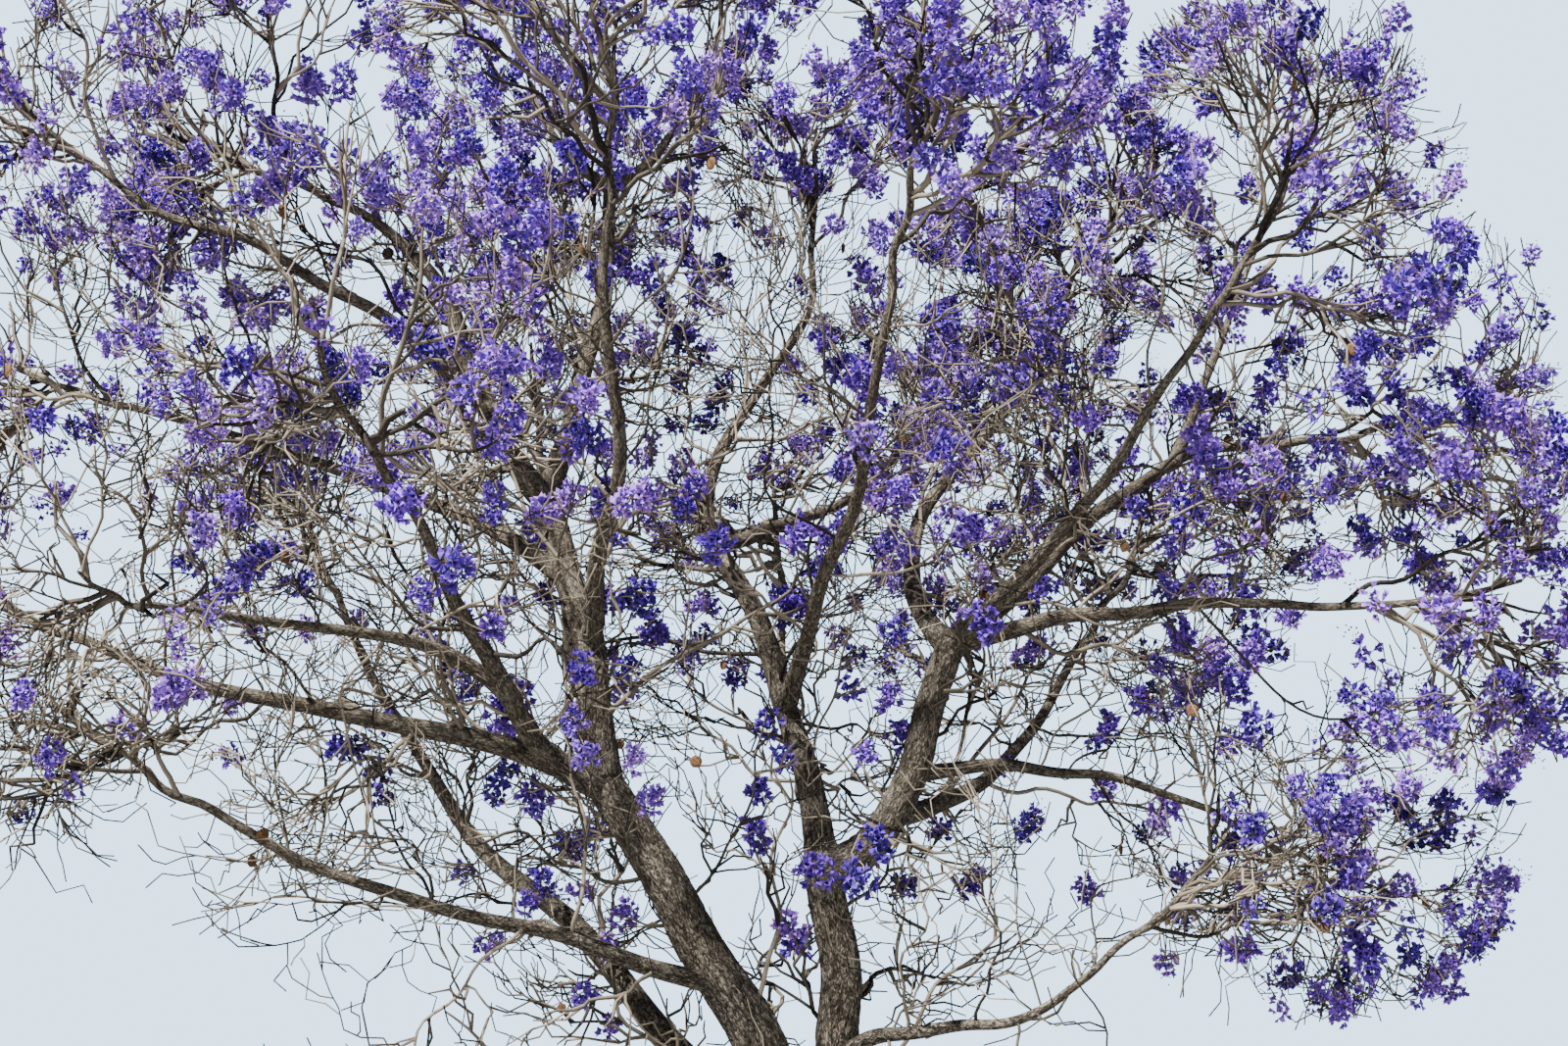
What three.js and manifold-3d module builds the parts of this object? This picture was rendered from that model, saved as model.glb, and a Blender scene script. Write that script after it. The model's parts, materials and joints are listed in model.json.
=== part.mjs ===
// A spreading jacaranda in full blossom: a short flared trunk that forks low, leaders and boughs
// that sweep outward, and a rounded mass of twigs and blossom sprays past the tip of each bough.
// Millimetres, +Z up. The origin is the middle of the flat cut at ground level, under the trunk.
// +X is the right of the tree as it is seen from its front, which faces -Y.

import * as THREE from 'three';
import { mergeVertices } from 'three/addons/utils/BufferGeometryUtils.js';
import Module from 'manifold-3d';

const wasm = await Module();
wasm.setup();

// Trunk
const TRUNK_HEIGHT = 1330;
const TRUNK_TOP_SHIFT = new THREE.Vector3(-25, 0, 0);
const TRUNK_RADIUS = 262;
const FLARE_RADIUS = 200;
const FLARE_HEIGHT = 260;
const ROOT_RIDGES = 5;
const ROOT_RIDGE_DEPTH = 0.17;
const ROOT_RIDGE_TURN = 0.6;
const SHOULDER_START = 0.8;
const SHOULDER_DEPTH = 0.16;
const TRUNK_SIDES = 18;
const TRUNK_RINGS = 7;

// Limbs
const LEADER_SIDES = 8;
const BOUGH_SIDES = 6;
const RING_SPACING = 430;
const FEWEST_RINGS = 5;
const BOW_PULL = 4 / 3;
const SWAY_PULL = 2 * Math.sqrt(3);
const WANDER_SHARE = 0.016;
const WANDER_TURNS = [2, 3, 5];
const WANDER_HOLD = 0.8;
const TAPER_POWER = 0.85;
const SIZE_RANGE = [0.8, 1.2];
const WANDER_RANGE = [0.6, 1.4];
const COLLAR = 0.3;
const COLLAR_LENGTH = 260;
const JOINT_GAP = 0.3;
const LIMB_SLIVER = 0.05;
const SAME_POINT = 0.001;

// Masses of twigs and blossom
const CROWN_MIDDLE = new THREE.Vector3(-780, 100, 5150);
const CROWN_RADII = new THREE.Vector3(5350, 4400, 4450);
const CROWN_FULLNESS = 2.6;
const MIDDLE_SHARE = 0.64;
const MASS_LIFT = 0.3;
const FLATNESS = 0.94;
const CELL_GAP = 15;
const LIMB_CLEARANCE = 14;
const MASS_SLIVER = 2;
const TWIG_SIDES = 3;
const WATCH_STEP = 50;
const GOLDEN_SHARE = 0.618034;
const GOLDEN_TURN = THREE.MathUtils.degToRad(137.508);
const TURN_SPREAD = 0.9;
const UP = new THREE.Vector3(0, 0, 1);
const STEEP = 0.9;

// Each kind of twig: how many leave the one before, how long it is as a share of the mass's
// radius, its thickness as a share of what it leaves, its steps, spread, lift and wander.
const STEM = { length: 0.98, thick: 1, thin: 0.62, steps: 3, lift: 0.25, wander: 0.22 };
const BRANCH = {
  count: 6, first: 0.2, length: 0.88, thick: 0.66, thin: 0.6,
  steps: 3, spread: [38, 68], lift: 0.42, wander: 0.3,
};
const TWIG = {
  count: 2, first: 0.36, length: 0.6, thick: 0.74, thin: 0.6,
  steps: 2, spread: [34, 62], lift: 0.5, wander: 0.34,
};

// Blossom sprays and seed pods
const SPRAY_SIZE = new THREE.Vector3(420, 620, 320);
const SPRAY_SINK = 0.14;
const SPRAY_WATCH = [-0.8, -0.4, 0, 0.4, 0.8, 0.95];
const SPRAY_TRIES = [
  { share: 1, lean: 0.25 },
  { share: 0.85, lean: 1.2 },
  { share: 0.7, lean: 0.1 },
  { share: 0.6, lean: 2.5 },
];
const BLOOM_MIDDLE = 0.82;
const BLOOM_RISE = 0.35;
const BLOOM_RIGHT = 0.3;
const POD_RADIUS = 42;
const POD_THICKNESS = 26;
const POD_EVERY = 4;
const POD_ALONG = 0.4;
const POD_SINK = 0.1;
const POD_SIDES = 6;

const BARK = { color: 0x6f6257, roughness: 0.95, metalness: 0 };
const YOUNG_BARK = { color: 0x94866f, roughness: 0.9, metalness: 0 };
const BLOSSOM = { color: 0x6a55cf, roughness: 0.75, metalness: 0 };

// Leaders carry the other limbs. on and at name the limb that each leaves and how far along it.
// tip is where it ends, and base and end are its radii. bow pushes its middle off the straight
// line, and sway pushes its quarter points to one side and the other.
const LEADERS = [
  {
    name: 'left_leader', on: 'trunk', at: 0.8, tip: [-1440, -300, 3540],
    bow: [30, 20, 20], sway: [-30, 30, -10], base: 190, end: 116,
  },
  {
    name: 'left_upper_leader', on: 'left_leader', at: 1, tip: [-1820, -200, 5320],
    bow: [60, -60, 20], base: 112, end: 86,
  },
  {
    name: 'left_top_leader', on: 'left_upper_leader', at: 1, tip: [-1490, 200, 7600],
    bow: [100, -50, -10], base: 74, end: 48,
  },
  {
    name: 'right_leader', on: 'trunk', at: 0.8, tip: [-100, 0, 3030],
    bow: [70, 0, 0], base: 150, end: 116,
  },
  {
    name: 'elbow_leader', on: 'right_leader', at: 0.985, tip: [680, -500, 4330],
    bow: [130, -10, -130], sway: [30, 0, -40], base: 108, end: 90,
  },
  {
    name: 'centre_leader', on: 'right_leader', at: 0.99, tip: [-860, 450, 5270],
    bow: [140, 10, 50], base: 92, end: 62,
  },
];

// Each bough carries one mass of twigs and blossom, whose radius is reach
const BOUGHS = [
  {
    name: 'low_left', on: 'left_leader', at: 0.985, tip: [-4350, -1190, 4210],
    bow: [50, -140, -40], sway: [10, 10, 50], base: 76, reach: 1400,
  },
  {
    name: 'lower_left', on: 'left_leader', at: 0.49, tip: [-3340, -1450, 3120],
    bow: [20, -90, -80], sway: [-10, 30, 40], base: 58, reach: 1250,
  },
  {
    name: 'back_left', on: 'trunk', at: 0.8, tip: [-3400, 2120, 4850],
    bow: [-150, -50, -100], sway: [50, -70, 70], base: 108, reach: 1500,
  },
  {
    name: 'front_left', on: 'left_leader', at: 0.975, tip: [-2330, -2100, 4730],
    bow: [-140, 0, -90], sway: [-50, 10, -30], base: 82, reach: 1450,
  },
  {
    name: 'low_front_left', on: 'front_left', at: 0.42, tip: [-3450, -2350, 4130],
    bow: [0, 60, 150], sway: [20, -10, 40], base: 46, reach: 1300,
  },
  {
    name: 'mid_left', on: 'left_upper_leader', at: 0.68, tip: [-4500, 600, 6100],
    bow: [-20, 10, 140], sway: [20, -20, 10], base: 60, reach: 1400,
  },
  {
    name: 'high_left', on: 'left_upper_leader', at: 0.985, tip: [-3060, -650, 7070],
    bow: [110, -60, 40], sway: [-90, -20, -50], base: 76, reach: 1400,
  },
  {
    name: 'upper_left', on: 'high_left', at: 0.28, tip: [-4150, -1150, 6850],
    bow: [20, 0, 180], sway: [20, 10, 0], base: 52, reach: 1400,
  },
  {
    name: 'top_left', on: 'left_top_leader', at: 0.98, tip: [-2020, 300, 8220],
    bow: [-40, 0, -60], base: 40, reach: 1250,
  },
  {
    name: 'top_right', on: 'left_top_leader', at: 0.975, tip: [-850, -100, 8260],
    bow: [80, 0, -80], base: 40, reach: 1300,
  },
  {
    name: 'top_back', on: 'left_top_leader', at: 0.55, tip: [-1650, 1750, 7350],
    bow: [0, 150, -200], base: 52, reach: 1450,
  },
  {
    name: 'centre_top', on: 'centre_leader', at: 0.98, tip: [-130, 850, 7040],
    bow: [-90, -10, 30], sway: [-60, 0, 30], base: 54, reach: 1450,
  },
  {
    name: 'back_top', on: 'centre_leader', at: 0.94, tip: [650, 1900, 6350],
    bow: [90, -60, -120], base: 50, reach: 1500,
  },
  {
    name: 'low_right', on: 'elbow_leader', at: 0.985, tip: [2500, -1200, 4410],
    bow: [0, 0, 80], base: 58, reach: 1400,
  },
  {
    name: 'right', on: 'elbow_leader', at: 0.98, tip: [2740, 200, 5760],
    bow: [-100, -10, 170], sway: [50, 10, -60], base: 74, reach: 1400,
  },
  {
    name: 'tall_right', on: 'right', at: 0.76, tip: [2690, -100, 6920],
    bow: [0, 0, 0], base: 38, reach: 1300,
  },
  {
    name: 'high_right', on: 'elbow_leader', at: 0.975, tip: [1420, 900, 6560],
    bow: [-400, 140, 0], sway: [-90, 20, 20], base: 66, reach: 1400,
  },
  {
    name: 'low_front', on: 'right_leader', at: 0.4, tip: [1220, -1300, 2230],
    bow: [-40, -20, 10], sway: [-10, 20, 80], base: 50, reach: 1250,
  },
  {
    name: 'drooping_right', on: 'elbow_leader', at: 0.5, tip: [2350, 150, 3380],
    bow: [0, 0, 150], base: 46, reach: 1300,
  },
  {
    name: 'front_high_left', on: 'left_upper_leader', at: 0.45, tip: [-1350, -1900, 6150],
    bow: [100, -150, -250], base: 62, reach: 1450,
  },
  {
    name: 'front_centre', on: 'centre_leader', at: 0.45, tip: [250, -1900, 5900],
    bow: [0, -100, -250], base: 60, reach: 1500,
  },
  {
    name: 'front_right', on: 'elbow_leader', at: 0.99, tip: [1750, -2000, 5450],
    bow: [0, -150, -150], base: 56, reach: 1400,
  },
  {
    name: 'back_centre', on: 'centre_leader', at: 0.2, tip: [-350, 2350, 5000],
    bow: [0, 150, -300], base: 68, reach: 1500,
  },
  {
    name: 'back_right', on: 'elbow_leader', at: 0.35, tip: [1750, 1950, 4750],
    bow: [50, 150, -250], base: 66, reach: 1500,
  },
  {
    name: 'back_high_left', on: 'left_upper_leader', at: 0.3, tip: [-2150, 2400, 6050],
    bow: [0, 200, -300], base: 64, reach: 1500,
  },
];
const BOUGH_END_SHARE = 0.46;
const MOST_END_RADIUS = 30;

// Numbers from a seed, the same in every run
const SEED_RANGE = 2147483647;
const SEED_STEP = 48271;
const CHILD_SEED = { scale: 16807, step: 69621, shift: 12345 };
const FIRST_SEEDS = { leader: 101, bough: 201, mass: 1001, massStep: 17 };
function drawsFrom(seed) {
  let state = (seed % (SEED_RANGE - 1)) + 1;
  const draw = () => {
    state = (state * SEED_STEP) % SEED_RANGE;
    return state / SEED_RANGE;
  };
  draw();
  draw();
  return draw;
}

// A level direction at right angles to a way, or +X's for one that points nearly straight up
function sideways(way) {
  const level = Math.abs(way.z) > STEEP ? new THREE.Vector3(1, 0, 0) : UP;
  return way.clone().cross(level).normalize();
}

function childSeed(seed, index) {
  const { scale, step, shift } = CHILD_SEED;
  return (seed * scale + (index + 1) * step + shift) % SEED_RANGE;
}

const vector = ([x, y, z]) => new THREE.Vector3(x, y, z);
const between = ([least, most], share) => least + (most - least) * share;

// The middle line of a limb: a Bezier curve with a bow and a sway, and a slight seeded wander
class LimbCurve extends THREE.Curve {
  constructor(start, tip, bow, sway, seed) {
    super();
    const third = tip.clone().sub(start).divideScalar(3);
    const firstPull = start.clone().add(third).addScaledVector(bow, BOW_PULL);
    const lastPull = tip.clone().sub(third).addScaledVector(bow, BOW_PULL);
    firstPull.addScaledVector(sway, SWAY_PULL);
    lastPull.addScaledVector(sway, -SWAY_PULL);
    this.line = new THREE.CubicBezierCurve3(start, firstPull, lastPull, tip);
    const chord = third.clone().normalize();
    this.across = sideways(chord);
    this.aside = chord.clone().cross(this.across).normalize();
    const draw = drawsFrom(seed);
    this.waves = WANDER_TURNS.map((turns) => ({
      turns,
      size: (start.distanceTo(tip) * WANDER_SHARE * between(WANDER_RANGE, draw())) / Math.sqrt(turns),
      phase: draw() * Math.PI * 2,
      tilt: draw() * Math.PI * 2,
    }));
  }

  getPoint(t, target = new THREE.Vector3()) {
    target.copy(this.line.getPoint(t));
    const hold = Math.sin(Math.PI * t) ** WANDER_HOLD;
    for (const { turns, size, phase, tilt } of this.waves) {
      const swing = size * hold * Math.sin(Math.PI * turns * t + phase);
      target.addScaledVector(this.across, swing * Math.cos(tilt));
      target.addScaledVector(this.aside, swing * Math.sin(tilt));
    }
    return target;
  }
}

// Bends a closed cylinder along a curve, with the radius at each ring and angle given by radiusAt.
// grow makes it that much bigger all round, ends too, to cut room for it in its neighbours.
function bentCylinder(curve, sides, rings, radiusAt, grow = 0) {
  const geometry = new THREE.CylinderGeometry(1, 1, 1, sides, rings);
  const frames = curve.computeFrenetFrames(rings, false);
  const position = geometry.getAttribute('position');
  const corner = new THREE.Vector3();
  for (let i = 0; i < position.count; i++) {
    const share = position.getY(i) + 0.5;
    const ring = Math.round(share * rings);
    const angle = Math.atan2(position.getZ(i), position.getX(i));
    const radius = radiusAt(share, angle) + grow;
    const atEnd = ring === rings ? 1 : ring === 0 ? -1 : 0;
    corner.copy(curve.getPointAt(share)).addScaledVector(frames.tangents[ring], atEnd * grow);
    corner.addScaledVector(frames.normals[ring], position.getX(i) * radius);
    corner.addScaledVector(frames.binormals[ring], -position.getZ(i) * radius);
    position.setXYZ(i, corner.x, corner.y, corner.z);
  }
  return geometry;
}

function solidOf(geometry) {
  const bare = geometry.clone();
  bare.deleteAttribute('normal');
  bare.deleteAttribute('uv');
  const merged = mergeVertices(bare, SAME_POINT);
  const mesh = new wasm.Mesh({
    numProp: 3,
    vertProperties: new Float32Array(merged.getAttribute('position').array),
    triVerts: new Uint32Array(merged.index.array),
  });
  return new wasm.Manifold(mesh);
}

function geometryOf(solid) {
  const { numProp, vertProperties, triVerts } = solid.getMesh();
  const position = new Float32Array((vertProperties.length / numProp) * 3);
  for (let i = 0; i * numProp < vertProperties.length; i++) {
    position.set(vertProperties.subarray(i * numProp, i * numProp + 3), i * 3);
  }
  const geometry = new THREE.BufferGeometry();
  geometry.setAttribute('position', new THREE.BufferAttribute(position, 3));
  geometry.setIndex(new THREE.BufferAttribute(triVerts, 1));
  geometry.computeVertexNormals();
  return geometry;
}

// The biggest body of a solid, without the scraps that a cut leaves
function biggestBody(solid) {
  return solid.decompose().reduce((best, body) => (body.volume() > best.volume() ? body : best));
}

function boxesMeet(a, b) {
  const one = a.boundingBox();
  const other = b.boundingBox();
  return [0, 1, 2].every((k) => one.min[k] <= other.max[k] && other.min[k] <= one.max[k]);
}

// Trunk: a tapering flared column whose foot spreads into root ridges, cut flat at ground level
function trunkRadius(share, angle) {
  const height = share * TRUNK_HEIGHT;
  const flare = Math.exp(-height / FLARE_HEIGHT);
  const ridges = 1 + ROOT_RIDGE_DEPTH * flare * Math.cos(ROOT_RIDGES * angle + ROOT_RIDGE_TURN);
  const shoulder = 1 - SHOULDER_DEPTH * Math.max(0, (share - SHOULDER_START) / (1 - SHOULDER_START));
  return (TRUNK_RADIUS + FLARE_RADIUS * flare) * ridges * shoulder;
}

function makeTrunk() {
  const top = new THREE.Vector3(0, 0, TRUNK_HEIGHT).add(TRUNK_TOP_SHIFT);
  const curve = new THREE.CubicBezierCurve3(
    new THREE.Vector3(0, 0, 0),
    new THREE.Vector3(0, 0, TRUNK_HEIGHT / 3),
    new THREE.Vector3(TRUNK_TOP_SHIFT.x, TRUNK_TOP_SHIFT.y, (TRUNK_HEIGHT * 2) / 3),
    top,
  );
  const shape = (grow) => bentCylinder(curve, TRUNK_SIDES, TRUNK_RINGS, trunkRadius, grow);
  return {
    name: 'trunk',
    curve,
    radiusAt: (share) => trunkRadius(share, 0),
    solid: solidOf(shape(0)),
    grown: solidOf(shape(JOINT_GAP)),
  };
}

// Limb: one tapering round limb with a slight collar where it leaves its parent
function makeLimb(spec, parents, sides, seed) {
  const parent = parents.get(spec.on);
  const start = parent.curve.getPointAt(spec.at);
  const tip = vector(spec.tip);
  const curve = new LimbCurve(start, tip, vector(spec.bow), vector(spec.sway ?? [0, 0, 0]), seed);
  const length = curve.getLength();
  const radiusAt = (share) => {
    const collar = 1 + COLLAR * Math.exp((-share * length) / COLLAR_LENGTH);
    return (spec.base + (spec.end - spec.base) * share ** TAPER_POWER) * collar;
  };
  const rings = Math.max(FEWEST_RINGS, Math.round(length / RING_SPACING));
  const shape = (grow) => bentCylinder(curve, sides, rings, radiusAt, grow);
  return {
    name: spec.name,
    curve,
    radiusAt,
    tip,
    endWay: curve.getTangentAt(1),
    endRadius: radiusAt(1),
    whole: solidOf(shape(0)),
    grown: solidOf(shape(JOINT_GAP)),
  };
}

function cutClear(limb, others) {
  let solid = limb.whole;
  for (const other of others) {
    if (boxesMeet(solid, other.grown)) {
      solid = solid.subtract(other.grown);
    }
  }
  return biggestBody(solid).asOriginal().simplify(LIMB_SLIVER);
}

// The crown is a dome that is a little squarer than an ellipsoid
function outOfCrown(point) {
  const { x, y, z } = point.clone().sub(CROWN_MIDDLE).divide(CROWN_RADII);
  return Math.hypot(x, y) ** CROWN_FULLNESS + Math.abs(z) ** CROWN_FULLNESS > 1;
}

// The space of a mass: a flattened ball inside the crown, cut off halfway to each neighbour
class MassSpace {
  constructor(bough, reach, limbs) {
    const way = bough.endWay.clone().addScaledVector(UP, MASS_LIFT).normalize();
    this.middle = bough.tip.clone().addScaledVector(way, reach * MIDDLE_SHARE);
    this.reach = reach;
    this.walls = [];
    this.limbs = limbs;
  }

  addNeighbour(other) {
    const way = other.middle.clone().sub(this.middle);
    const distance = way.length();
    const wall = (distance ** 2 + this.reach ** 2 - other.reach ** 2) / (2 * distance) - CELL_GAP;
    this.walls.push({ way: way.divideScalar(distance), wall });
  }

  holds(point, own = null, radius = 0) {
    const from = point.clone().sub(this.middle);
    const outOfBall = Math.hypot(from.x, from.y, from.z / FLATNESS) > this.reach;
    const pastWall = this.walls.some(({ way, wall }) => from.dot(way) > wall - radius);
    if (outOfBall || pastWall || outOfCrown(point)) {
      return false;
    }
    return !this.limbs.some((limb) => limb !== own && limb.touches(point, radius + LIMB_CLEARANCE));
  }

  holdsLine(start, end, own, radius) {
    const count = Math.ceil(start.distanceTo(end) / WATCH_STEP);
    for (let i = 1; i <= count; i++) {
      if (!this.holds(start.clone().lerp(end, i / count), own, radius)) {
        return false;
      }
    }
    return true;
  }
}

// Answers whether a point lies within a clearance of a limb
function watchLimb(limb) {
  const count = Math.ceil(limb.curve.getLength() / WATCH_STEP);
  const beads = [];
  for (let i = 0; i <= count; i++) {
    beads.push({ place: limb.curve.getPointAt(i / count), radius: limb.radiusAt(i / count) });
  }
  limb.touches = (point, clearance) =>
    beads.some(({ place, radius }) => place.distanceToSquared(point) < (radius + clearance) ** 2);
}

// One twig: a line of steps that lifts and wanders, and stops where its space ends
function growTwig(kind, space, own, start, way, length, radius, seed) {
  const draw = drawsFrom(seed);
  const points = [start];
  const heading = way.clone();
  for (let i = 0; i < kind.steps; i++) {
    const stray = new THREE.Vector3(draw() - 0.5, draw() - 0.5, draw() - 0.5);
    if (i > 0) {
      heading.addScaledVector(stray, 2 * kind.wander).addScaledVector(UP, kind.lift / kind.steps).normalize();
    }
    const next = points[i].clone().addScaledVector(heading, length / kind.steps);
    if (!space.holdsLine(points[i], next, own, radius)) {
      break;
    }
    points.push(next);
  }
  return { points, radius, end: radius * kind.thin, heading };
}

function twigSolid(twig) {
  const curve = new THREE.CatmullRomCurve3(twig.points);
  const rings = twig.points.length - 1;
  const radiusAt = (share) => between([twig.radius, twig.end], share);
  return solidOf(bentCylinder(curve, TWIG_SIDES, rings, radiusAt));
}

// A side twig leaves its parent at its own share of the length, turned by the golden angle
function growSide(kind, space, parent, index, seed) {
  const draw = drawsFrom(seed);
  const share = kind.first + (1 - kind.first) * ((GOLDEN_SHARE * (index + 1)) % 1);
  const along = share * (parent.points.length - 1);
  const step = Math.min(Math.floor(along), parent.points.length - 2);
  const start = parent.points[step].clone().lerp(parent.points[step + 1], along - step);
  const way = parent.points[step + 1].clone().sub(parent.points[step]).normalize();
  const side = sideways(way).applyAxisAngle(way, index * GOLDEN_TURN + draw() * TURN_SPREAD);
  const spread = THREE.MathUtils.degToRad(between(kind.spread, draw()));
  const heading = way.multiplyScalar(Math.cos(spread)).addScaledVector(side, Math.sin(spread));
  const radius = between([parent.radius, parent.end], share) * kind.thick;
  const length = space.reach * kind.length * between(SIZE_RANGE, draw());
  return growTwig(kind, space, null, start, heading, length, radius, seed);
}

// Blossom is thickest high up and on the right, and thin low down on the left
function bloomAt(point) {
  const rise = (point.z - CROWN_MIDDLE.z) / CROWN_RADII.z;
  const right = (point.x - CROWN_MIDDLE.x) / CROWN_RADII.x;
  return BLOOM_MIDDLE + BLOOM_RISE * rise + BLOOM_RIGHT * right;
}

// A blossom spray stands for several panicles: a pointed spindle of eight faces. It leans up
// from its twig, and is smaller or stands straighter where there is no room for it.
const SPRAY_CORNERS = new THREE.OctahedronGeometry(1);
function placeSpray(space, twig, seed) {
  const draw = drawsFrom(seed);
  const size = between(SIZE_RANGE, draw());
  const spinAngle = draw() * Math.PI;
  const tip = twig.points[twig.points.length - 1];
  if (draw() > bloomAt(tip)) {
    return null;
  }
  for (const { share, lean } of SPRAY_TRIES) {
    const way = twig.heading.clone().addScaledVector(UP, lean).normalize();
    const turn = new THREE.Quaternion().setFromUnitVectors(new THREE.Vector3(0, 1, 0), way);
    const spin = new THREE.Quaternion().setFromAxisAngle(way, spinAngle);
    const scale = SPRAY_SIZE.clone().multiplyScalar(0.5 * size * share);
    const middle = tip.clone().addScaledVector(way, scale.y * (1 - 2 * SPRAY_SINK));
    const place = new THREE.Matrix4().compose(middle, spin.multiply(turn), scale);
    const fits = SPRAY_WATCH.every((t) =>
      space.holds(middle.clone().addScaledVector(way, t * scale.y), null, scale.x * (1 - Math.abs(t))));
    if (fits) {
      return solidOf(SPRAY_CORNERS.clone().applyMatrix4(place));
    }
  }
  return null;
}

// A seed pod: a flat round case that hangs from the underside of a twig
function placePod(space, twig) {
  const [from, to] = twig.points.slice(-2);
  const at = from.clone().lerp(to, POD_ALONG);
  const middle = at.clone().addScaledVector(UP, -POD_RADIUS * (1 - POD_SINK));
  const geometry = new THREE.SphereGeometry(1, POD_SIDES, 2);
  geometry.rotateX(Math.PI / 2);
  geometry.scale(POD_RADIUS, POD_THICKNESS / 2, POD_RADIUS);
  geometry.translate(middle.x, middle.y, middle.z);
  return space.holds(middle, null, POD_RADIUS) ? solidOf(geometry) : null;
}

// A mass: a stem that carries on from its bough's tip, its branches, their twigs and the sprays
function makeMass(bough, space, seed, hasPod) {
  const start = bough.tip.clone().addScaledVector(bough.endWay, JOINT_GAP);
  const stemLength = space.reach * STEM.length;
  const stem = growTwig(STEM, space, bough, start, bough.endWay, stemLength, bough.endRadius, seed);
  const solids = [twigSolid(stem)];
  const sprays = [];
  for (let i = 0; i < BRANCH.count; i++) {
    const branchSeed = childSeed(seed, i);
    const branch = growSide(BRANCH, space, stem, i, branchSeed);
    if (branch.points.length < 2) {
      continue;
    }
    solids.push(twigSolid(branch));
    sprays.push(placeSpray(space, branch, branchSeed));
    for (let j = 0; j < TWIG.count; j++) {
      const twigSeed = childSeed(branchSeed, j);
      const twig = growSide(TWIG, space, branch, j, twigSeed);
      if (twig.points.length < 2) {
        continue;
      }
      solids.push(twigSolid(twig));
      sprays.push(placeSpray(space, twig, twigSeed));
    }
    if (hasPod && i === 0) {
      sprays.push(placePod(space, branch));
    }
  }
  sprays.push(placeSpray(space, stem, seed));
  solids.push(...sprays.filter(Boolean));
  return biggestBody(wasm.Manifold.union(solids)).asOriginal().simplify(MASS_SLIVER);
}

function meshOf(name, solid, look) {
  const mesh = new THREE.Mesh(geometryOf(solid), new THREE.MeshStandardMaterial(look));
  mesh.name = name;
  return mesh;
}

const tree = new THREE.Group();
const parents = new Map();
const limbs = [makeTrunk()];
parents.set('trunk', limbs[0]);
LEADERS.forEach((spec, i) => {
  const limb = makeLimb(spec, parents, LEADER_SIDES, FIRST_SEEDS.leader + i);
  parents.set(spec.name, limb);
  limbs.push(limb);
});
BOUGHS.forEach((spec, i) => {
  const end = Math.min(MOST_END_RADIUS, spec.base * BOUGH_END_SHARE);
  const limb = makeLimb({ ...spec, end }, parents, BOUGH_SIDES, FIRST_SEEDS.bough + i);
  parents.set(spec.name, limb);
  limbs.push(limb);
});
limbs.forEach(watchLimb);
limbs.forEach((limb, i) => {
  limb.solid ??= cutClear(limb, limbs.slice(0, i));
  const isBough = i > LEADERS.length;
  tree.add(meshOf(isBough ? `${limb.name}_bough` : limb.name, limb.solid, isBough ? YOUNG_BARK : BARK));
});

const spaces = BOUGHS.map((spec) => new MassSpace(parents.get(spec.name), spec.reach, limbs));
for (const space of spaces) {
  spaces.filter((other) => other !== space).forEach((other) => space.addNeighbour(other));
}
BOUGHS.forEach((spec, i) => {
  const seed = FIRST_SEEDS.mass + FIRST_SEEDS.massStep * i;
  const solid = makeMass(parents.get(spec.name), spaces[i], seed, i % POD_EVERY === 0);
  tree.add(meshOf(`${spec.name}_mass`, solid, BLOSSOM));
});

export default tree;
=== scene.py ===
# %% [markdown]
# # Dressing a jacaranda in full blossom
# The CAD model of this tree has a trunk, its limbs, and one coarse mass of twigs and blossom past
# the tip of each bough. This lesson keeps those places and sizes and gives the tree its real looks:
# fissured bark, thousands of fine winding twigs, and panicles of violet-blue bells. Everything is
# in the frame of the CAD model, so nothing has to be fitted afterwards.

import json
import math

import bpy
import numpy as np
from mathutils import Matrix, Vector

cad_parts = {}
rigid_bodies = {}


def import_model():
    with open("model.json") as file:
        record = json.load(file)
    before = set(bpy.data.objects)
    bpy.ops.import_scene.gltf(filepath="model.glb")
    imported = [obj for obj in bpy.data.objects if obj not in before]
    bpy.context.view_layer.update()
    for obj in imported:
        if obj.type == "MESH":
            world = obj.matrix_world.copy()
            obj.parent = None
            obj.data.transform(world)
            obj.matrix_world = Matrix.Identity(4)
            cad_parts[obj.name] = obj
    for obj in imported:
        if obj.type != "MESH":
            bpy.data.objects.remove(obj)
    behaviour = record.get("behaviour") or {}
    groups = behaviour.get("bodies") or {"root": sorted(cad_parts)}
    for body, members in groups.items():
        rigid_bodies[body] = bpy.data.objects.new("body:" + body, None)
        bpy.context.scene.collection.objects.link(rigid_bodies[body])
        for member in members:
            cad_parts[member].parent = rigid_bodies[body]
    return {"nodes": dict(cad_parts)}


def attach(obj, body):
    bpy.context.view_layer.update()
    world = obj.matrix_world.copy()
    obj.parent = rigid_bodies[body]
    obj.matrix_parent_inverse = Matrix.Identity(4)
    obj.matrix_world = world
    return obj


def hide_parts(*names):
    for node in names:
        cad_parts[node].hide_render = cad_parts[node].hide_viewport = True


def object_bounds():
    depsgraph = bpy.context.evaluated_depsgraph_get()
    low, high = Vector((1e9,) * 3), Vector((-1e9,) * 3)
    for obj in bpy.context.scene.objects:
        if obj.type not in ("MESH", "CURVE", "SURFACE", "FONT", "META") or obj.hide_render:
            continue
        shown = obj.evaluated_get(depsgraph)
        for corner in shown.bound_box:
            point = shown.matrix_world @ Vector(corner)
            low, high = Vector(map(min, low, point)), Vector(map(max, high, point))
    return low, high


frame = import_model()
cad_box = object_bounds()
print("CAD nodes:", len(frame["nodes"]), "box:", cad_box)

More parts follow.
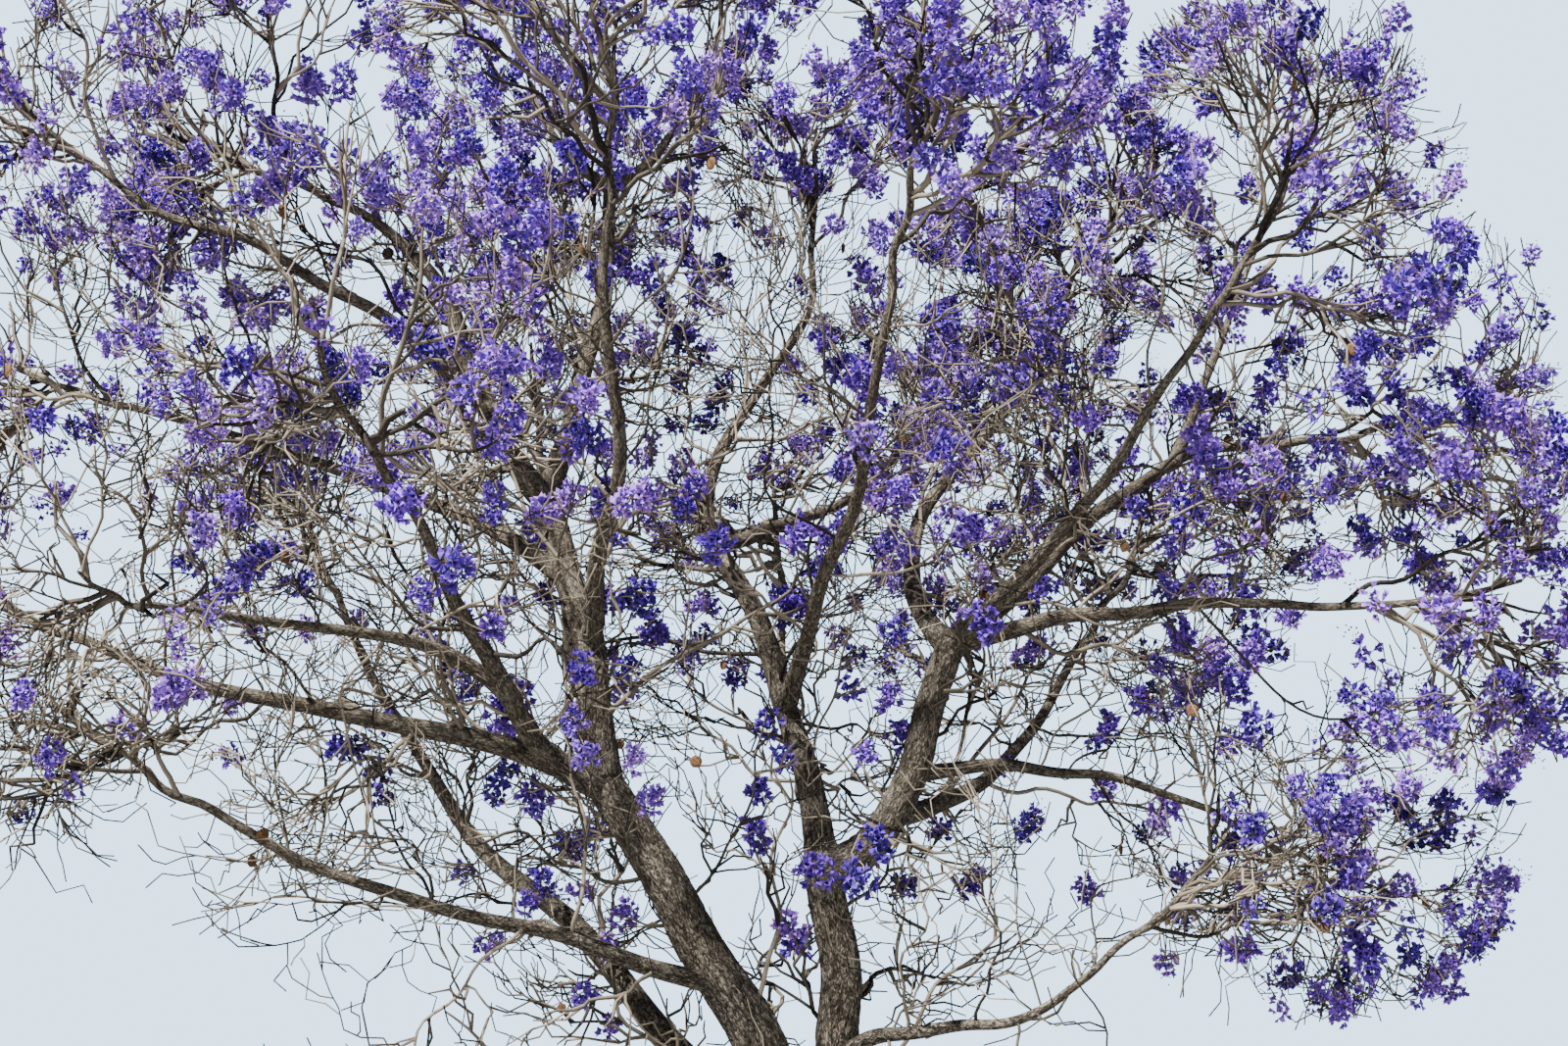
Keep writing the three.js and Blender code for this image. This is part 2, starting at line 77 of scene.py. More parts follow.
# %% [markdown]
# ## The camera and the light
# The tree was seen from the height of a person's eyes, fourteen metres in front of it, with the
# camera tilted up. One strong lamp, high in front and a little to the left, shapes the limbs: their
# upper sides turn pale and their undersides stay dark, as under a high sun. An even light from all
# sides would be simpler, but it fills those shadows. So the camera sees a bright pale backdrop, of
# which much less falls on the tree, and the floor's paint is only as pale as it has to be: what it
# throws back up is the main light on the undersides.

# %% Camera and lamps
PHOTO_WIDTH_PX = 1600
FOCAL_PX = 2333
SENSOR_MM = 36
CAMERA_PLACE = (-0.33, -14.0, 1.6)
CAMERA_PITCH = math.radians(14.4)
# name, strength, colour, softness and turn in degrees
LAMPS = [
    ("broad_key_lamp", 14.6, (1.0, 0.96, 0.88), 3, (36, -20, -10)),
    ("right_fill_lamp", 0.25, (0.8, 0.88, 1.0), 50, (60, 48, 0)),
]


def new_object(name, data):
    """A new object in the scene."""
    made = bpy.data.objects.new(name, data)
    bpy.context.scene.collection.objects.link(made)
    return made


camera_data = bpy.data.cameras.new("photo_camera")
camera_data.sensor_width = SENSOR_MM
camera_data.lens = FOCAL_PX / PHOTO_WIDTH_PX * SENSOR_MM
camera = new_object("photo_camera", camera_data)
camera.location = CAMERA_PLACE
camera.rotation_euler = (math.pi / 2 + CAMERA_PITCH, 0, 0)
bpy.context.scene.camera = camera

for name, strength, colour, softness, turn in LAMPS:
    lamp = bpy.data.lights.new(name, "SUN")
    lamp.energy = strength
    lamp.color = colour
    lamp.angle = math.radians(softness)
    new_object(name, lamp).rotation_euler = [math.radians(angle) for angle in turn]
print("lens:", round(camera_data.lens, 2), "mm, lamps:", len(LAMPS))

# %% Backdrop and floor
BACKDROP_COLOUR = (0.53, 0.76, 1.0, 1.0)
BACKDROP_LIGHT = 0.08
BACKDROP_SEEN = 3.4
FLOOR_SIZE = 60
FLOOR_DROP = 0.002

world = bpy.data.worlds.new("pale_studio")
world.use_nodes = True
world_nodes, world_links = world.node_tree.nodes, world.node_tree.links
backdrop = world_nodes["Background"]
backdrop.inputs["Color"].default_value = BACKDROP_COLOUR
light_path = world_nodes.new("ShaderNodeLightPath")
seen_or_lit = world_nodes.new("ShaderNodeMapRange")
seen_or_lit.inputs["To Min"].default_value = BACKDROP_LIGHT
seen_or_lit.inputs["To Max"].default_value = BACKDROP_SEEN
world_links.new(light_path.outputs["Is Camera Ray"], seen_or_lit.inputs["Value"])
world_links.new(seen_or_lit.outputs[0], backdrop.inputs["Strength"])
bpy.context.scene.world = world

floor_mesh = bpy.data.meshes.new("studio_floor")
half = FLOOR_SIZE / 2
corners = [(-half, -half), (half, -half), (half, half), (-half, half)]
floor_mesh.from_pydata([(x, y, -FLOOR_DROP) for x, y in corners], [], [(0, 1, 2, 3)])
new_object("studio_floor", floor_mesh)
print("floor:", FLOOR_SIZE, "m wide, just under the cut of the trunk")

# %% [markdown]
# ## Small helpers for node trees
# Materials and Geometry Nodes are both built from nodes, sockets and links. They could be drawn by
# hand in the editor, but a script can be read and run again. One helper that adds a node, sets its
# properties and fills its sockets keeps the rest of the lesson short. Each Geometry Nodes tree has
# named inputs, and a modifier is told their values by the sockets' identifiers.

# %% Node helpers
def fill(tree, socket, value):
    """Gives a socket a value, or links another node's output to it."""
    if isinstance(value, bpy.types.NodeSocket):
        tree.links.new(value, socket)
    elif value is not None:
        socket.default_value = value


def add_node(tree, kind, sockets=None, **properties):
    """Adds a node, sets its properties, and fills its sockets by name or number."""
    node = tree.nodes.new(kind)
    for key, value in properties.items():
        setattr(node, key, value)
    for key, value in (sockets or {}).items():
        fill(tree, node.inputs[key], value)
    return node


def maths(tree, operation, first, second=None, clamp=False):
    sockets = {0: first, 1: second}
    return add_node(tree, "ShaderNodeMath", sockets, operation=operation, use_clamp=clamp).outputs[0]


def vector_maths(tree, operation, first, second=None, scale=None):
    sockets = {0: first, 1: second, 3: scale}
    return add_node(tree, "ShaderNodeVectorMath", sockets, operation=operation).outputs[0]


# %% Geometry Nodes helpers
def geometry_tree(name, inputs):
    """A Geometry Nodes tree with a geometry input and output, and the named inputs given."""
    tree = bpy.data.node_groups.new(name, "GeometryNodeTree")
    tree.interface.new_socket("Geometry", in_out="INPUT", socket_type="NodeSocketGeometry")
    for title, (kind, value) in inputs.items():
        socket = tree.interface.new_socket(title, in_out="INPUT", socket_type=f"NodeSocket{kind}")
        if value is not None:
            socket.default_value = value
    tree.interface.new_socket("Geometry", in_out="OUTPUT", socket_type="NodeSocketGeometry")
    return tree, add_node(tree, "NodeGroupInput").outputs


def enabled(sockets, name):
    """Attribute nodes have one socket for each data type, and only one of them is in use."""
    return next(socket for socket in sockets if socket.enabled and socket.name == name)


def read_attribute(tree, name, data_type="FLOAT"):
    node = add_node(tree, "GeometryNodeInputNamedAttribute", {"Name": name}, data_type=data_type)
    return enabled(node.outputs, "Attribute")


def store_attribute(tree, geometry, name, value, data_type="FLOAT"):
    sockets = {"Geometry": geometry, "Name": name}
    node = add_node(tree, "GeometryNodeStoreNamedAttribute", sockets, data_type=data_type)
    tree.links.new(value, enabled(node.inputs, "Value"))
    return node.outputs["Geometry"]


def smoothed(tree, geometry):
    sockets = {"Geometry": geometry, "Shade Smooth": True}
    return add_node(tree, "GeometryNodeSetShadeSmooth", sockets).outputs[0]


def finish_tree(tree, geometry, material):
    """Ends a tree in Realize Instances and Set Material."""
    whole = add_node(tree, "GeometryNodeRealizeInstances", {"Geometry": geometry}).outputs[0]
    sockets = {"Geometry": whole, "Material": material}
    dressed = add_node(tree, "GeometryNodeSetMaterial", sockets).outputs[0]
    add_node(tree, "NodeGroupOutput", {"Geometry": dressed})


# %% From modifiers to plain meshes
def add_modifier(holder, tree, values):
    """Puts a tree on an object, with its inputs set by identifier."""
    modifier = holder.modifiers.new(tree.name, "NODES")
    modifier.node_group = tree
    for item in tree.interface.items_tree:
        if item.in_out == "INPUT" and item.name in values:
            modifier[item.identifier] = values[item.name]


def settle(holder, name):
    """Turns an object with modifiers into a plain mesh object, and removes the first one."""
    bpy.context.view_layer.update()
    evaluated = holder.evaluated_get(bpy.context.evaluated_depsgraph_get())
    mesh = bpy.data.meshes.new_from_object(evaluated)
    source = holder.data
    bpy.data.objects.remove(holder)
    bpy.data.meshes.remove(source)
    mesh.name = name
    return new_object(name, mesh)


def triangles(piece):
    piece.data.calc_loop_triangles()
    return len(piece.data.loop_triangles)


# %% [markdown]
# ## The rule that the tree grows by
# The CAD source grows its limbs and twigs by a seeded rule. The same rule is written here again,
# with the same numbers in millimetres, so each limb and each coarse twig of the CAD model comes out
# where it is. Traced points would do the same for one tree only, while a rule can go on to finer
# twigs. It draws its numbers from a seed, so every run gives the same tree.

# %% Seeds and directions
MM = 0.001
SEED_RANGE = 2147483647
SEED_STEP = 48271
CHILD_SEED = {"scale": 16807, "step": 69621, "shift": 12345}
FIRST_SEEDS = {
    "leader": 101, "bough": 201, "mass": 1001, "mass_step": 17, "shoot": 70001, "shoot_step": 101,
}
# added to a twig's own seed, for what is drawn beside its course
SEED_SHIFTS = {"bends": 7, "tone": 11, "blossom": 19, "pod": 23}
UP = np.array([0.0, 0.0, 1.0])
STEEP = 0.9


def draws_from(seed):
    """A function whose calls give numbers from 0 to 1, the same ones for the same seed."""
    state = seed % (SEED_RANGE - 1) + 1

    def draw():
        nonlocal state
        state = state * SEED_STEP % SEED_RANGE
        return state / SEED_RANGE

    draw()
    draw()
    return draw


def child_seed(seed, index):
    return (seed * CHILD_SEED["scale"] + (index + 1) * CHILD_SEED["step"] + CHILD_SEED["shift"]) % SEED_RANGE


def between(limits, share):
    return limits[0] + (limits[1] - limits[0]) * share


def share_of(limits, value):
    """How far a value lies between two limits, from 0 to 1."""
    return min(1, max(0, (value - limits[0]) / (limits[1] - limits[0])))


def stray(draw):
    """A small step in any direction."""
    return np.array([draw() - 0.5, draw() - 0.5, draw() - 0.5])


def unit(vector):
    return vector / math.sqrt(vector @ vector)


def cross(a, b):
    return np.array([a[1] * b[2] - a[2] * b[1], a[2] * b[0] - a[0] * b[2], a[0] * b[1] - a[1] * b[0]])


def sideways(way):
    """A direction at right angles to a way: a level one, unless the way is steep."""
    return unit(cross(way, np.array([1.0, 0.0, 0.0]) if abs(way[2]) > STEEP else UP))


def turned(vector, axis, angle):
    cos = math.cos(angle)
    return vector * cos + cross(axis, vector) * math.sin(angle) + axis * ((axis @ vector) * (1 - cos))


print("first draws:", [round(draws_from(FIRST_SEEDS[key])(), 4) for key in ("leader", "bough", "mass")])

# %% [markdown]
# ## Limbs as curves
# A limb of a real tree is never straight: it bows to the light, and sways where a side limb once
# pulled on it. A Bezier curve gives the bow and the sway, and three small waves give the wander. The
# radius tapers to the tip and swells into a collar where the limb leaves its parent.

# %% Limb sizes
TRUNK_HEIGHT = 1330
TRUNK_TOP_SHIFT = np.array([-25.0, 0.0, 0.0])
TRUNK_RADIUS = 262
FLARE_RADIUS = 200
FLARE_HEIGHT = 260
ROOT_RIDGES = 5
ROOT_RIDGE_DEPTH = 0.17
ROOT_RIDGE_TURN = 0.6
SHOULDER_START = 0.8
SHOULDER_DEPTH = 0.16
BOW_PULL = 4 / 3
SWAY_PULL = 2 * math.sqrt(3)
WANDER_SHARE = 0.016
WANDER_TURNS = (2, 3, 5)
WANDER_HOLD = 0.8
WANDER_RANGE = (0.6, 1.4)
TAPER_POWER = 0.85
SIZE_RANGE = (0.8, 1.2)
COLLAR = 0.3
COLLAR_LENGTH = 260
BOUGH_END_SHARE = 0.46
MOST_END_RADIUS = 30
NO_SWAY = (0, 0, 0)

# name, the limb it leaves, how far along, tip, bow, sway, radius at its base and at its end
LEADERS = [
    ("left_leader", "trunk", 0.8, (-1440, -300, 3540), (30, 20, 20), (-30, 30, -10), 190, 116),
    ("left_upper_leader", "left_leader", 1, (-1820, -200, 5320), (60, -60, 20), NO_SWAY, 112, 86),
    ("left_top_leader", "left_upper_leader", 1, (-1490, 200, 7600), (100, -50, -10), NO_SWAY, 74, 48),
    ("right_leader", "trunk", 0.8, (-100, 0, 3030), (70, 0, 0), NO_SWAY, 150, 116),
    ("elbow_leader", "right_leader", 0.985, (680, -500, 4330), (130, -10, -130), (30, 0, -40), 108, 90),
    ("centre_leader", "right_leader", 0.99, (-860, 450, 5270), (140, 10, 50), NO_SWAY, 92, 62),
]
# name, the limb it leaves, how far along, tip, bow, sway, radius at its base, reach of its mass
BOUGHS = [
    ("low_left", "left_leader", 0.985, (-4350, -1190, 4210), (50, -140, -40), (10, 10, 50), 76, 1400),
    ("lower_left", "left_leader", 0.49, (-3340, -1450, 3120), (20, -90, -80), (-10, 30, 40), 58, 1250),
    ("back_left", "trunk", 0.8, (-3400, 2120, 4850), (-150, -50, -100), (50, -70, 70), 108, 1500),
    ("front_left", "left_leader", 0.975, (-2330, -2100, 4730), (-140, 0, -90), (-50, 10, -30), 82, 1450),
    ("low_front_left", "front_left", 0.42, (-3450, -2350, 4130), (0, 60, 150), (20, -10, 40), 46, 1300),
    ("mid_left", "left_upper_leader", 0.68, (-4500, 600, 6100), (-20, 10, 140), (20, -20, 10), 60, 1400),
    ("high_left", "left_upper_leader", 0.985, (-3060, -650, 7070), (110, -60, 40), (-90, -20, -50), 76, 1400),
    ("upper_left", "high_left", 0.28, (-4150, -1150, 6850), (20, 0, 180), (20, 10, 0), 52, 1400),
    ("top_left", "left_top_leader", 0.98, (-2020, 300, 8220), (-40, 0, -60), NO_SWAY, 40, 1250),
    ("top_right", "left_top_leader", 0.975, (-850, -100, 8260), (80, 0, -80), NO_SWAY, 40, 1300),
    ("top_back", "left_top_leader", 0.55, (-1650, 1750, 7350), (0, 150, -200), NO_SWAY, 52, 1450),
    ("centre_top", "centre_leader", 0.98, (-130, 850, 7040), (-90, -10, 30), (-60, 0, 30), 54, 1450),
    ("back_top", "centre_leader", 0.94, (650, 1900, 6350), (90, -60, -120), NO_SWAY, 50, 1500),
    ("low_right", "elbow_leader", 0.985, (2500, -1200, 4410), (0, 0, 80), NO_SWAY, 58, 1400),
    ("right", "elbow_leader", 0.98, (2740, 200, 5760), (-100, -10, 170), (50, 10, -60), 74, 1400),
    ("tall_right", "right", 0.76, (2690, -100, 6920), (0, 0, 0), NO_SWAY, 38, 1300),
    ("high_right", "elbow_leader", 0.975, (1420, 900, 6560), (-400, 140, 0), (-90, 20, 20), 66, 1400),
    ("low_front", "right_leader", 0.4, (1220, -1300, 2230), (-40, -20, 10), (-10, 20, 80), 50, 1250),
    ("drooping_right", "elbow_leader", 0.5, (2350, 150, 3380), (0, 0, 150), NO_SWAY, 46, 1300),
    ("front_high_left", "left_upper_leader", 0.45, (-1350, -1900, 6150), (100, -150, -250), NO_SWAY, 62, 1450),
    ("front_centre", "centre_leader", 0.45, (250, -1900, 5900), (0, -100, -250), NO_SWAY, 60, 1500),
    ("front_right", "elbow_leader", 0.99, (1750, -2000, 5450), (0, -150, -150), NO_SWAY, 56, 1400),
    ("back_centre", "centre_leader", 0.2, (-350, 2350, 5000), (0, 150, -300), NO_SWAY, 68, 1500),
    ("back_right", "elbow_leader", 0.35, (1750, 1950, 4750), (50, 150, -250), NO_SWAY, 66, 1500),
    ("back_high_left", "left_upper_leader", 0.3, (-2150, 2400, 6050), (0, 200, -300), NO_SWAY, 64, 1500),
]


# %% Limb curves
class Limb:
    """The middle line of a limb as a function of the share of its length, with its radius."""

    SAMPLES = 400
    TANGENT_STEP = 0.0001

    def __init__(self, name, start, first_pull, last_pull, tip, waves, radius_at):
        self.name = name
        self.from_ground = 0.0
        self.tip = tip
        self.pulls = (start, first_pull, last_pull, tip)
        self.waves = waves
        chord = unit(tip - start)
        self.across = sideways(chord)
        self.aside = unit(cross(chord, self.across))
        self.steps = np.linspace(0, 1, self.SAMPLES + 1)
        line = self.point(self.steps)
        gaps = np.linalg.norm(np.diff(line, axis=0), axis=1)
        self.lengths = np.concatenate([[0], np.cumsum(gaps)])
        self.length = self.lengths[-1]
        self.radius_at = radius_at
        last = self.point(np.array([1 - self.TANGENT_STEP, 1.0]))
        self.end_way = unit(last[1] - last[0])

    def point(self, t):
        t = np.asarray(t, dtype=float)[:, None]
        a, b, c, d = self.pulls
        place = (1 - t) ** 3 * a + 3 * (1 - t) ** 2 * t * b + 3 * (1 - t) * t**2 * c + t**3 * d
        hold = np.sin(np.pi * t).clip(0) ** WANDER_HOLD
        for turns, size, phase, tilt in self.waves:
            swing = size * hold * np.sin(np.pi * turns * t + phase)
            place = place + swing * (math.cos(tilt) * self.across + math.sin(tilt) * self.aside)
        return place

    def at(self, shares):
        """Points at shares of the limb's length."""
        shares = np.atleast_1d(shares)
        return self.point(np.interp(shares * self.length, self.lengths, self.steps))


def trunk_radius(share, angle):
    height = share * TRUNK_HEIGHT
    flare = np.exp(-height / FLARE_HEIGHT)
    ridges = 1 + ROOT_RIDGE_DEPTH * flare * np.cos(ROOT_RIDGES * angle + ROOT_RIDGE_TURN)
    shoulder = 1 - SHOULDER_DEPTH * np.maximum(0, (share - SHOULDER_START) / (1 - SHOULDER_START))
    return (TRUNK_RADIUS + FLARE_RADIUS * flare) * ridges * shoulder


def make_trunk():
    top = UP * TRUNK_HEIGHT + TRUNK_TOP_SHIFT
    first_pull = UP * TRUNK_HEIGHT / 3
    last_pull = UP * TRUNK_HEIGHT * 2 / 3 + TRUNK_TOP_SHIFT
    return Limb("trunk", np.zeros(3), first_pull, last_pull, top, [], lambda share: trunk_radius(share, 0))


def make_limb(row, end, limbs, seed):
    name, parent, at, tip, bow, sway, base, _ = row
    start = limbs[parent].at(at)[0]
    tip, bow, sway = (np.array(v, dtype=float) for v in (tip, bow, sway))
    third = (tip - start) / 3
    draw = draws_from(seed)
    span = math.dist(start, tip)
    waves = []
    for turns in WANDER_TURNS:
        size = span * WANDER_SHARE * between(WANDER_RANGE, draw()) / math.sqrt(turns)
        waves.append((turns, size, draw() * math.tau, draw() * math.tau))
    first_pull = start + third + bow * BOW_PULL + sway * SWAY_PULL
    last_pull = tip - third + bow * BOW_PULL - sway * SWAY_PULL
    limb = Limb(name, start, first_pull, last_pull, tip, waves, None)

    def radius_at(share):
        collar = 1 + COLLAR * np.exp(-np.asarray(share) * limb.length / COLLAR_LENGTH)
        return (base + (end - base) * np.asarray(share) ** TAPER_POWER) * collar

    limb.radius_at = radius_at
    limb.from_ground = limbs[parent].from_ground + limbs[parent].length * at
    return limb


limbs = {"trunk": make_trunk()}
for i, row in enumerate(LEADERS):
    limbs[row[0]] = make_limb(row, row[7], limbs, FIRST_SEEDS["leader"] + i)
for i, row in enumerate(BOUGHS):
    end = min(MOST_END_RADIUS, row[6] * BOUGH_END_SHARE)
    limbs[row[0]] = make_limb(row, end, limbs, FIRST_SEEDS["bough"] + i)
total_length = sum(limb.length for limb in limbs.values()) * MM
print("limbs:", len(limbs), "total length:", round(total_length, 1), "m")

# %% [markdown]
# ## The space of each mass
# The CAD model gives each bough's twigs a space of their own: a flattened ball inside the crown, cut
# off about halfway to its neighbours. The same walls hold the fine twigs here, so the crown keeps its
# outline and the gaps through which the sky shows. Beads along the limbs tell where wood already is:
# asking some 1,600 beads is far quicker than asking the limbs' meshes. A real crown is fuller on one
# side than on the other, so a table says how much blossom each space holds beside the rule.

# %% Mass spaces
CROWN_MIDDLE = np.array([-780.0, 100.0, 5150.0])
CROWN_RADII = np.array([5350.0, 4400.0, 4450.0])
CROWN_FULLNESS = 2.6
MIDDLE_SHARE = 0.64
MASS_LIFT = 0.3
FLATNESS = 0.94
CELL_GAP = 15
LIMB_CLEARANCE = 14
WATCH_STEP = 50
NO_LIMB = -1

limb_names = list(limbs)
bead_places, bead_radii, bead_limbs = [], [], []
for number, limb in enumerate(limbs.values()):
    shares = np.linspace(0, 1, math.ceil(limb.length / WATCH_STEP) + 1)
    bead_places.append(limb.at(shares))
    bead_radii.append(limb.radius_at(shares))
    bead_limbs.append(np.full(len(shares), number))
bead_places = np.vstack(bead_places)
bead_radii = np.concatenate(bead_radii)
bead_limbs = np.concatenate(bead_limbs)


class Space:
    """Where twigs may grow: inside the crown, clear of the limbs, and inside a mass's own walls."""

    def __init__(self, middle, reach, length_unit, flatness, fullness):
        self.middle = middle
        self.reach = reach
        self.length_unit = length_unit
        self.flatness = flatness
        self.fullness = fullness
        self.ways = np.zeros((0, 3))
        self.walls = np.zeros(0)
        near = np.linalg.norm(bead_places - middle, axis=1) < reach + bead_radii + WATCH_STEP * 2
        self.beads = (bead_places[near], bead_radii[near], bead_limbs[near])

    def add_neighbour(self, other):
        way = other.middle - self.middle
        distance = math.sqrt(way @ way)
        wall = (distance**2 + self.reach**2 - other.reach**2) / (2 * distance) - CELL_GAP
        self.ways = np.vstack([self.ways, way / distance])
        self.walls = np.append(self.walls, wall)

    def holds(self, points, own, radius):
        """Whether points have room for wood of this radius. Own is the number of the limb it may touch."""
        offsets = points - self.middle
        flat = offsets / (1, 1, self.flatness)
        if (np.einsum("ij,ij->i", flat, flat) > self.reach**2).any():
            return False
        level = (points - CROWN_MIDDLE) / CROWN_RADII
        outward, upward = np.hypot(level[:, 0], level[:, 1]), abs(level[:, 2])
        outside = outward**CROWN_FULLNESS + upward**CROWN_FULLNESS > 1
        if outside.any() or (offsets @ self.ways.T > self.walls - radius).any():
            return False
        places, radii, owners = self.beads
        away = points[:, None, :] - places[None, :, :]
        touch = np.einsum("ijk,ijk->ij", away, away) < (radii + radius + LIMB_CLEARANCE) ** 2
        return not (touch & (owners != own)).any()

    def holds_line(self, start, end, own, radius):
        count = math.ceil(math.dist(start, end) / WATCH_STEP)
        shares = np.arange(1, count + 1)[:, None] / count
        return self.holds(start + (end - start) * shares, own, radius)


# %% How full each space is
# 1 is what the rule gives: below it the sky shows through, above it the panicles crowd
FULLNESS = {
    "low_left": 2.2, "back_left": 3.0, "front_left": 1.5, "low_front_left": 1.6, "mid_left": 4.6,
    "high_left": 4.2, "upper_left": 2.4, "top_left": 3.2, "top_right": 2.4, "top_back": 2.1,
    "centre_top": 3.6, "back_top": 2.2, "low_right": 1.3, "right": 0.36, "tall_right": 0.58,
    "high_right": 1.4, "low_front": 0.45, "drooping_right": 0.8, "front_high_left": 0.8,
    "front_centre": 1.15, "front_right": 0.8, "back_centre": 0.25, "back_high_left": 0.38,
}

spaces = []
for row in BOUGHS:
    bough, reach = limbs[row[0]], row[7]
    way = unit(bough.end_way + UP * MASS_LIFT)
    middle = bough.tip + way * reach * MIDDLE_SHARE
    spaces.append(Space(middle, reach, reach, FLATNESS, FULLNESS.get(row[0], 1.0)))
for space in spaces:
    for other in spaces:
        if other is not space:
            space.add_neighbour(other)
print("spaces:", len(spaces), "beads:", len(bead_places))

# %% [markdown]
# ## Stems, branches, twigs and sprigs
# A twig grows in a few steps. Each step strays a little and lifts towards the light, and the twig
# stops where its space ends. Side twigs leave at the golden angle, as on many trees. Blender has
# ready-made tree growers, but only the source's own rule lands on the source's twigs. The CAD model
# stops at six branches with two twigs each. Here the same rule goes on: more branches and twigs
# between those, and sprigs on every twig. High in the crown the sprigs are whips, longer, straighter
# and steeper. A fine line with small bends then replaces each coarse one.

# %% Growing rules
JOINT_GAP = 0.3
GOLDEN_SHARE = 0.618034
GOLDEN_TURN = math.radians(137.508)
TURN_SPREAD = 0.9
STEM = {
    "length": 0.98, "thin": 0.62, "steps": 3, "lift": 0.25, "wander": 0.22,
    "fine": 70, "bend": 0.014, "shown": 1.0,
}
BRANCH = {
    "count": 9, "first": 0.2, "length": 0.88, "thick": 0.66, "thin": 0.6, "steps": 3,
    "spread": (38, 68), "lift": 0.42, "wander": 0.3, "fine": 78, "bend": 0.02, "shown": 1.05,
}
TWIG = {
    "count": 6, "first": 0.36, "length": 0.6, "thick": 0.74, "thin": 0.6, "steps": 2,
    "spread": (34, 62), "lift": 0.5, "wander": 0.34, "fine": 105, "bend": 0.026, "shown": 1.12,
}
SPRIG = {
    "count": 4, "first": 0.22, "length": 0.36, "thick": 0.78, "thin": 0.62, "steps": 3,
    "spread": (30, 66), "lift": 0.9, "wander": 0.36, "fine": 104, "bend": 0.075, "shown": 1.5,
}
WHIP = {
    **SPRIG, "first": 0.3, "length": 0.46,
    "spread": (22, 50), "lift": 1.25, "wander": 0.16, "fine": 135, "bend": 0.035,
}
WHIPS_ABOVE = 6400
LEAST_RADIUS = 5.0
TIP_FROM = 0.7
TIP_THIN = 0.4
BEND_TURNS = (1.5, 2.6)
BEND_RANGE = (0.6, 1.4)
BEND_ROOT_SHARE = 0.25
print("side twigs of a stem, a branch and a twig:", BRANCH["count"], TWIG["count"], SPRIG["count"])

# %% Twigs as fine lines
def smooth_line(points, count):
    """A Catmull-Rom line through points, in count steps."""
    padded = np.vstack([2 * points[0] - points[1], points, 2 * points[-1] - points[-2]])
    place = np.linspace(0, len(points) - 1, count + 1)
    step = np.minimum(place.astype(int), len(points) - 2)
    t = (place - step)[:, None]
    a, b, c, d = (padded[step + k] for k in range(4))
    return 0.5 * (2 * b + (c - a) * t + (2 * a - 5 * b + 4 * c - d) * t**2 + (3 * b - 3 * c + d - a) * t**3)


class Twig:
    """A twig: the rule's own points, and the fine line that shows, in millimetres."""

    def __init__(self, kind, points, radius, seed):
        self.kind = kind
        self.points = points
        self.radius = radius
        self.end = radius * kind["thin"]
        self.seed = seed

    def refine(self, start):
        """Draws the fine line from start, on the parent's own fine line, through the points."""
        points = np.vstack([start, self.points[1:]])
        length = np.linalg.norm(np.diff(points, axis=0), axis=1).sum()
        count = max(2, round(length / self.kind["fine"]))
        self.line = smooth_line(points, count)
        shares = np.linspace(0, 1, count + 1)
        draw = draws_from(self.seed + SEED_SHIFTS["bends"])
        chord = unit(points[-1] - points[0])
        across = sideways(chord)
        aside = cross(chord, across)
        for turns in BEND_TURNS:
            size = length * self.kind["bend"] * between(BEND_RANGE, draw())
            hold = np.minimum(1, shares / BEND_ROOT_SHARE)
            swing = size * hold * np.sin(math.tau * (turns * shares + draw()))
            tilt = draw() * math.tau
            self.line += swing[:, None] * (math.cos(tilt) * across + math.sin(tilt) * aside)
        fall = 1 - TIP_THIN * np.clip((shares - TIP_FROM) / (1 - TIP_FROM), 0, 1) ** 2
        radii = (self.radius + (self.end - self.radius) * shares) * fall * self.kind["shown"]
        self.radii = np.maximum(LEAST_RADIUS, radii)

    def fine_point(self, share):
        place = share * (len(self.line) - 1)
        step = min(int(place), len(self.line) - 2)
        return self.line[step] + (self.line[step + 1] - self.line[step]) * (place - step)


# %% How a twig and its side twigs grow
def grow_twig(kind, space, own, start, way, length, radius, seed):
    draw = draws_from(seed)
    points = [start]
    heading = way
    for i in range(kind["steps"]):
        step_aside = stray(draw) * (2 * kind["wander"])
        if i > 0:
            heading = unit(heading + step_aside + UP * (kind["lift"] / kind["steps"]))
        following = points[i] + heading * (length / kind["steps"])
        if not space.holds_line(points[i], following, own, radius):
            break
        points.append(following)
    return Twig(kind, np.array(points), radius, seed) if len(points) > 1 else None


def grow_side(kind, space, parent, index, seed):
    draw = draws_from(seed)
    share = kind["first"] + (1 - kind["first"]) * ((GOLDEN_SHARE * (index + 1)) % 1)
    along = share * (len(parent.points) - 1)
    step = min(int(along), len(parent.points) - 2)
    start = parent.points[step] + (parent.points[step + 1] - parent.points[step]) * (along - step)
    way = unit(parent.points[step + 1] - parent.points[step])
    side = turned(sideways(way), way, index * GOLDEN_TURN + draw() * TURN_SPREAD)
    spread = math.radians(between(kind["spread"], draw()))
    heading = way * math.cos(spread) + side * math.sin(spread)
    radius = between((parent.radius, parent.end), share) * kind["thick"]
    length = space.length_unit * kind["length"] * between(SIZE_RANGE, draw())
    twig = grow_twig(kind, space, NO_LIMB, start, heading, length, radius, seed)
    if twig is not None:
        twig.refine(parent.fine_point(share))
    return twig


# %% Where it blooms
BLOOM_MIDDLE = 0.82
BLOOM_RISE = 0.35
BLOOM_RIGHT = 0.3


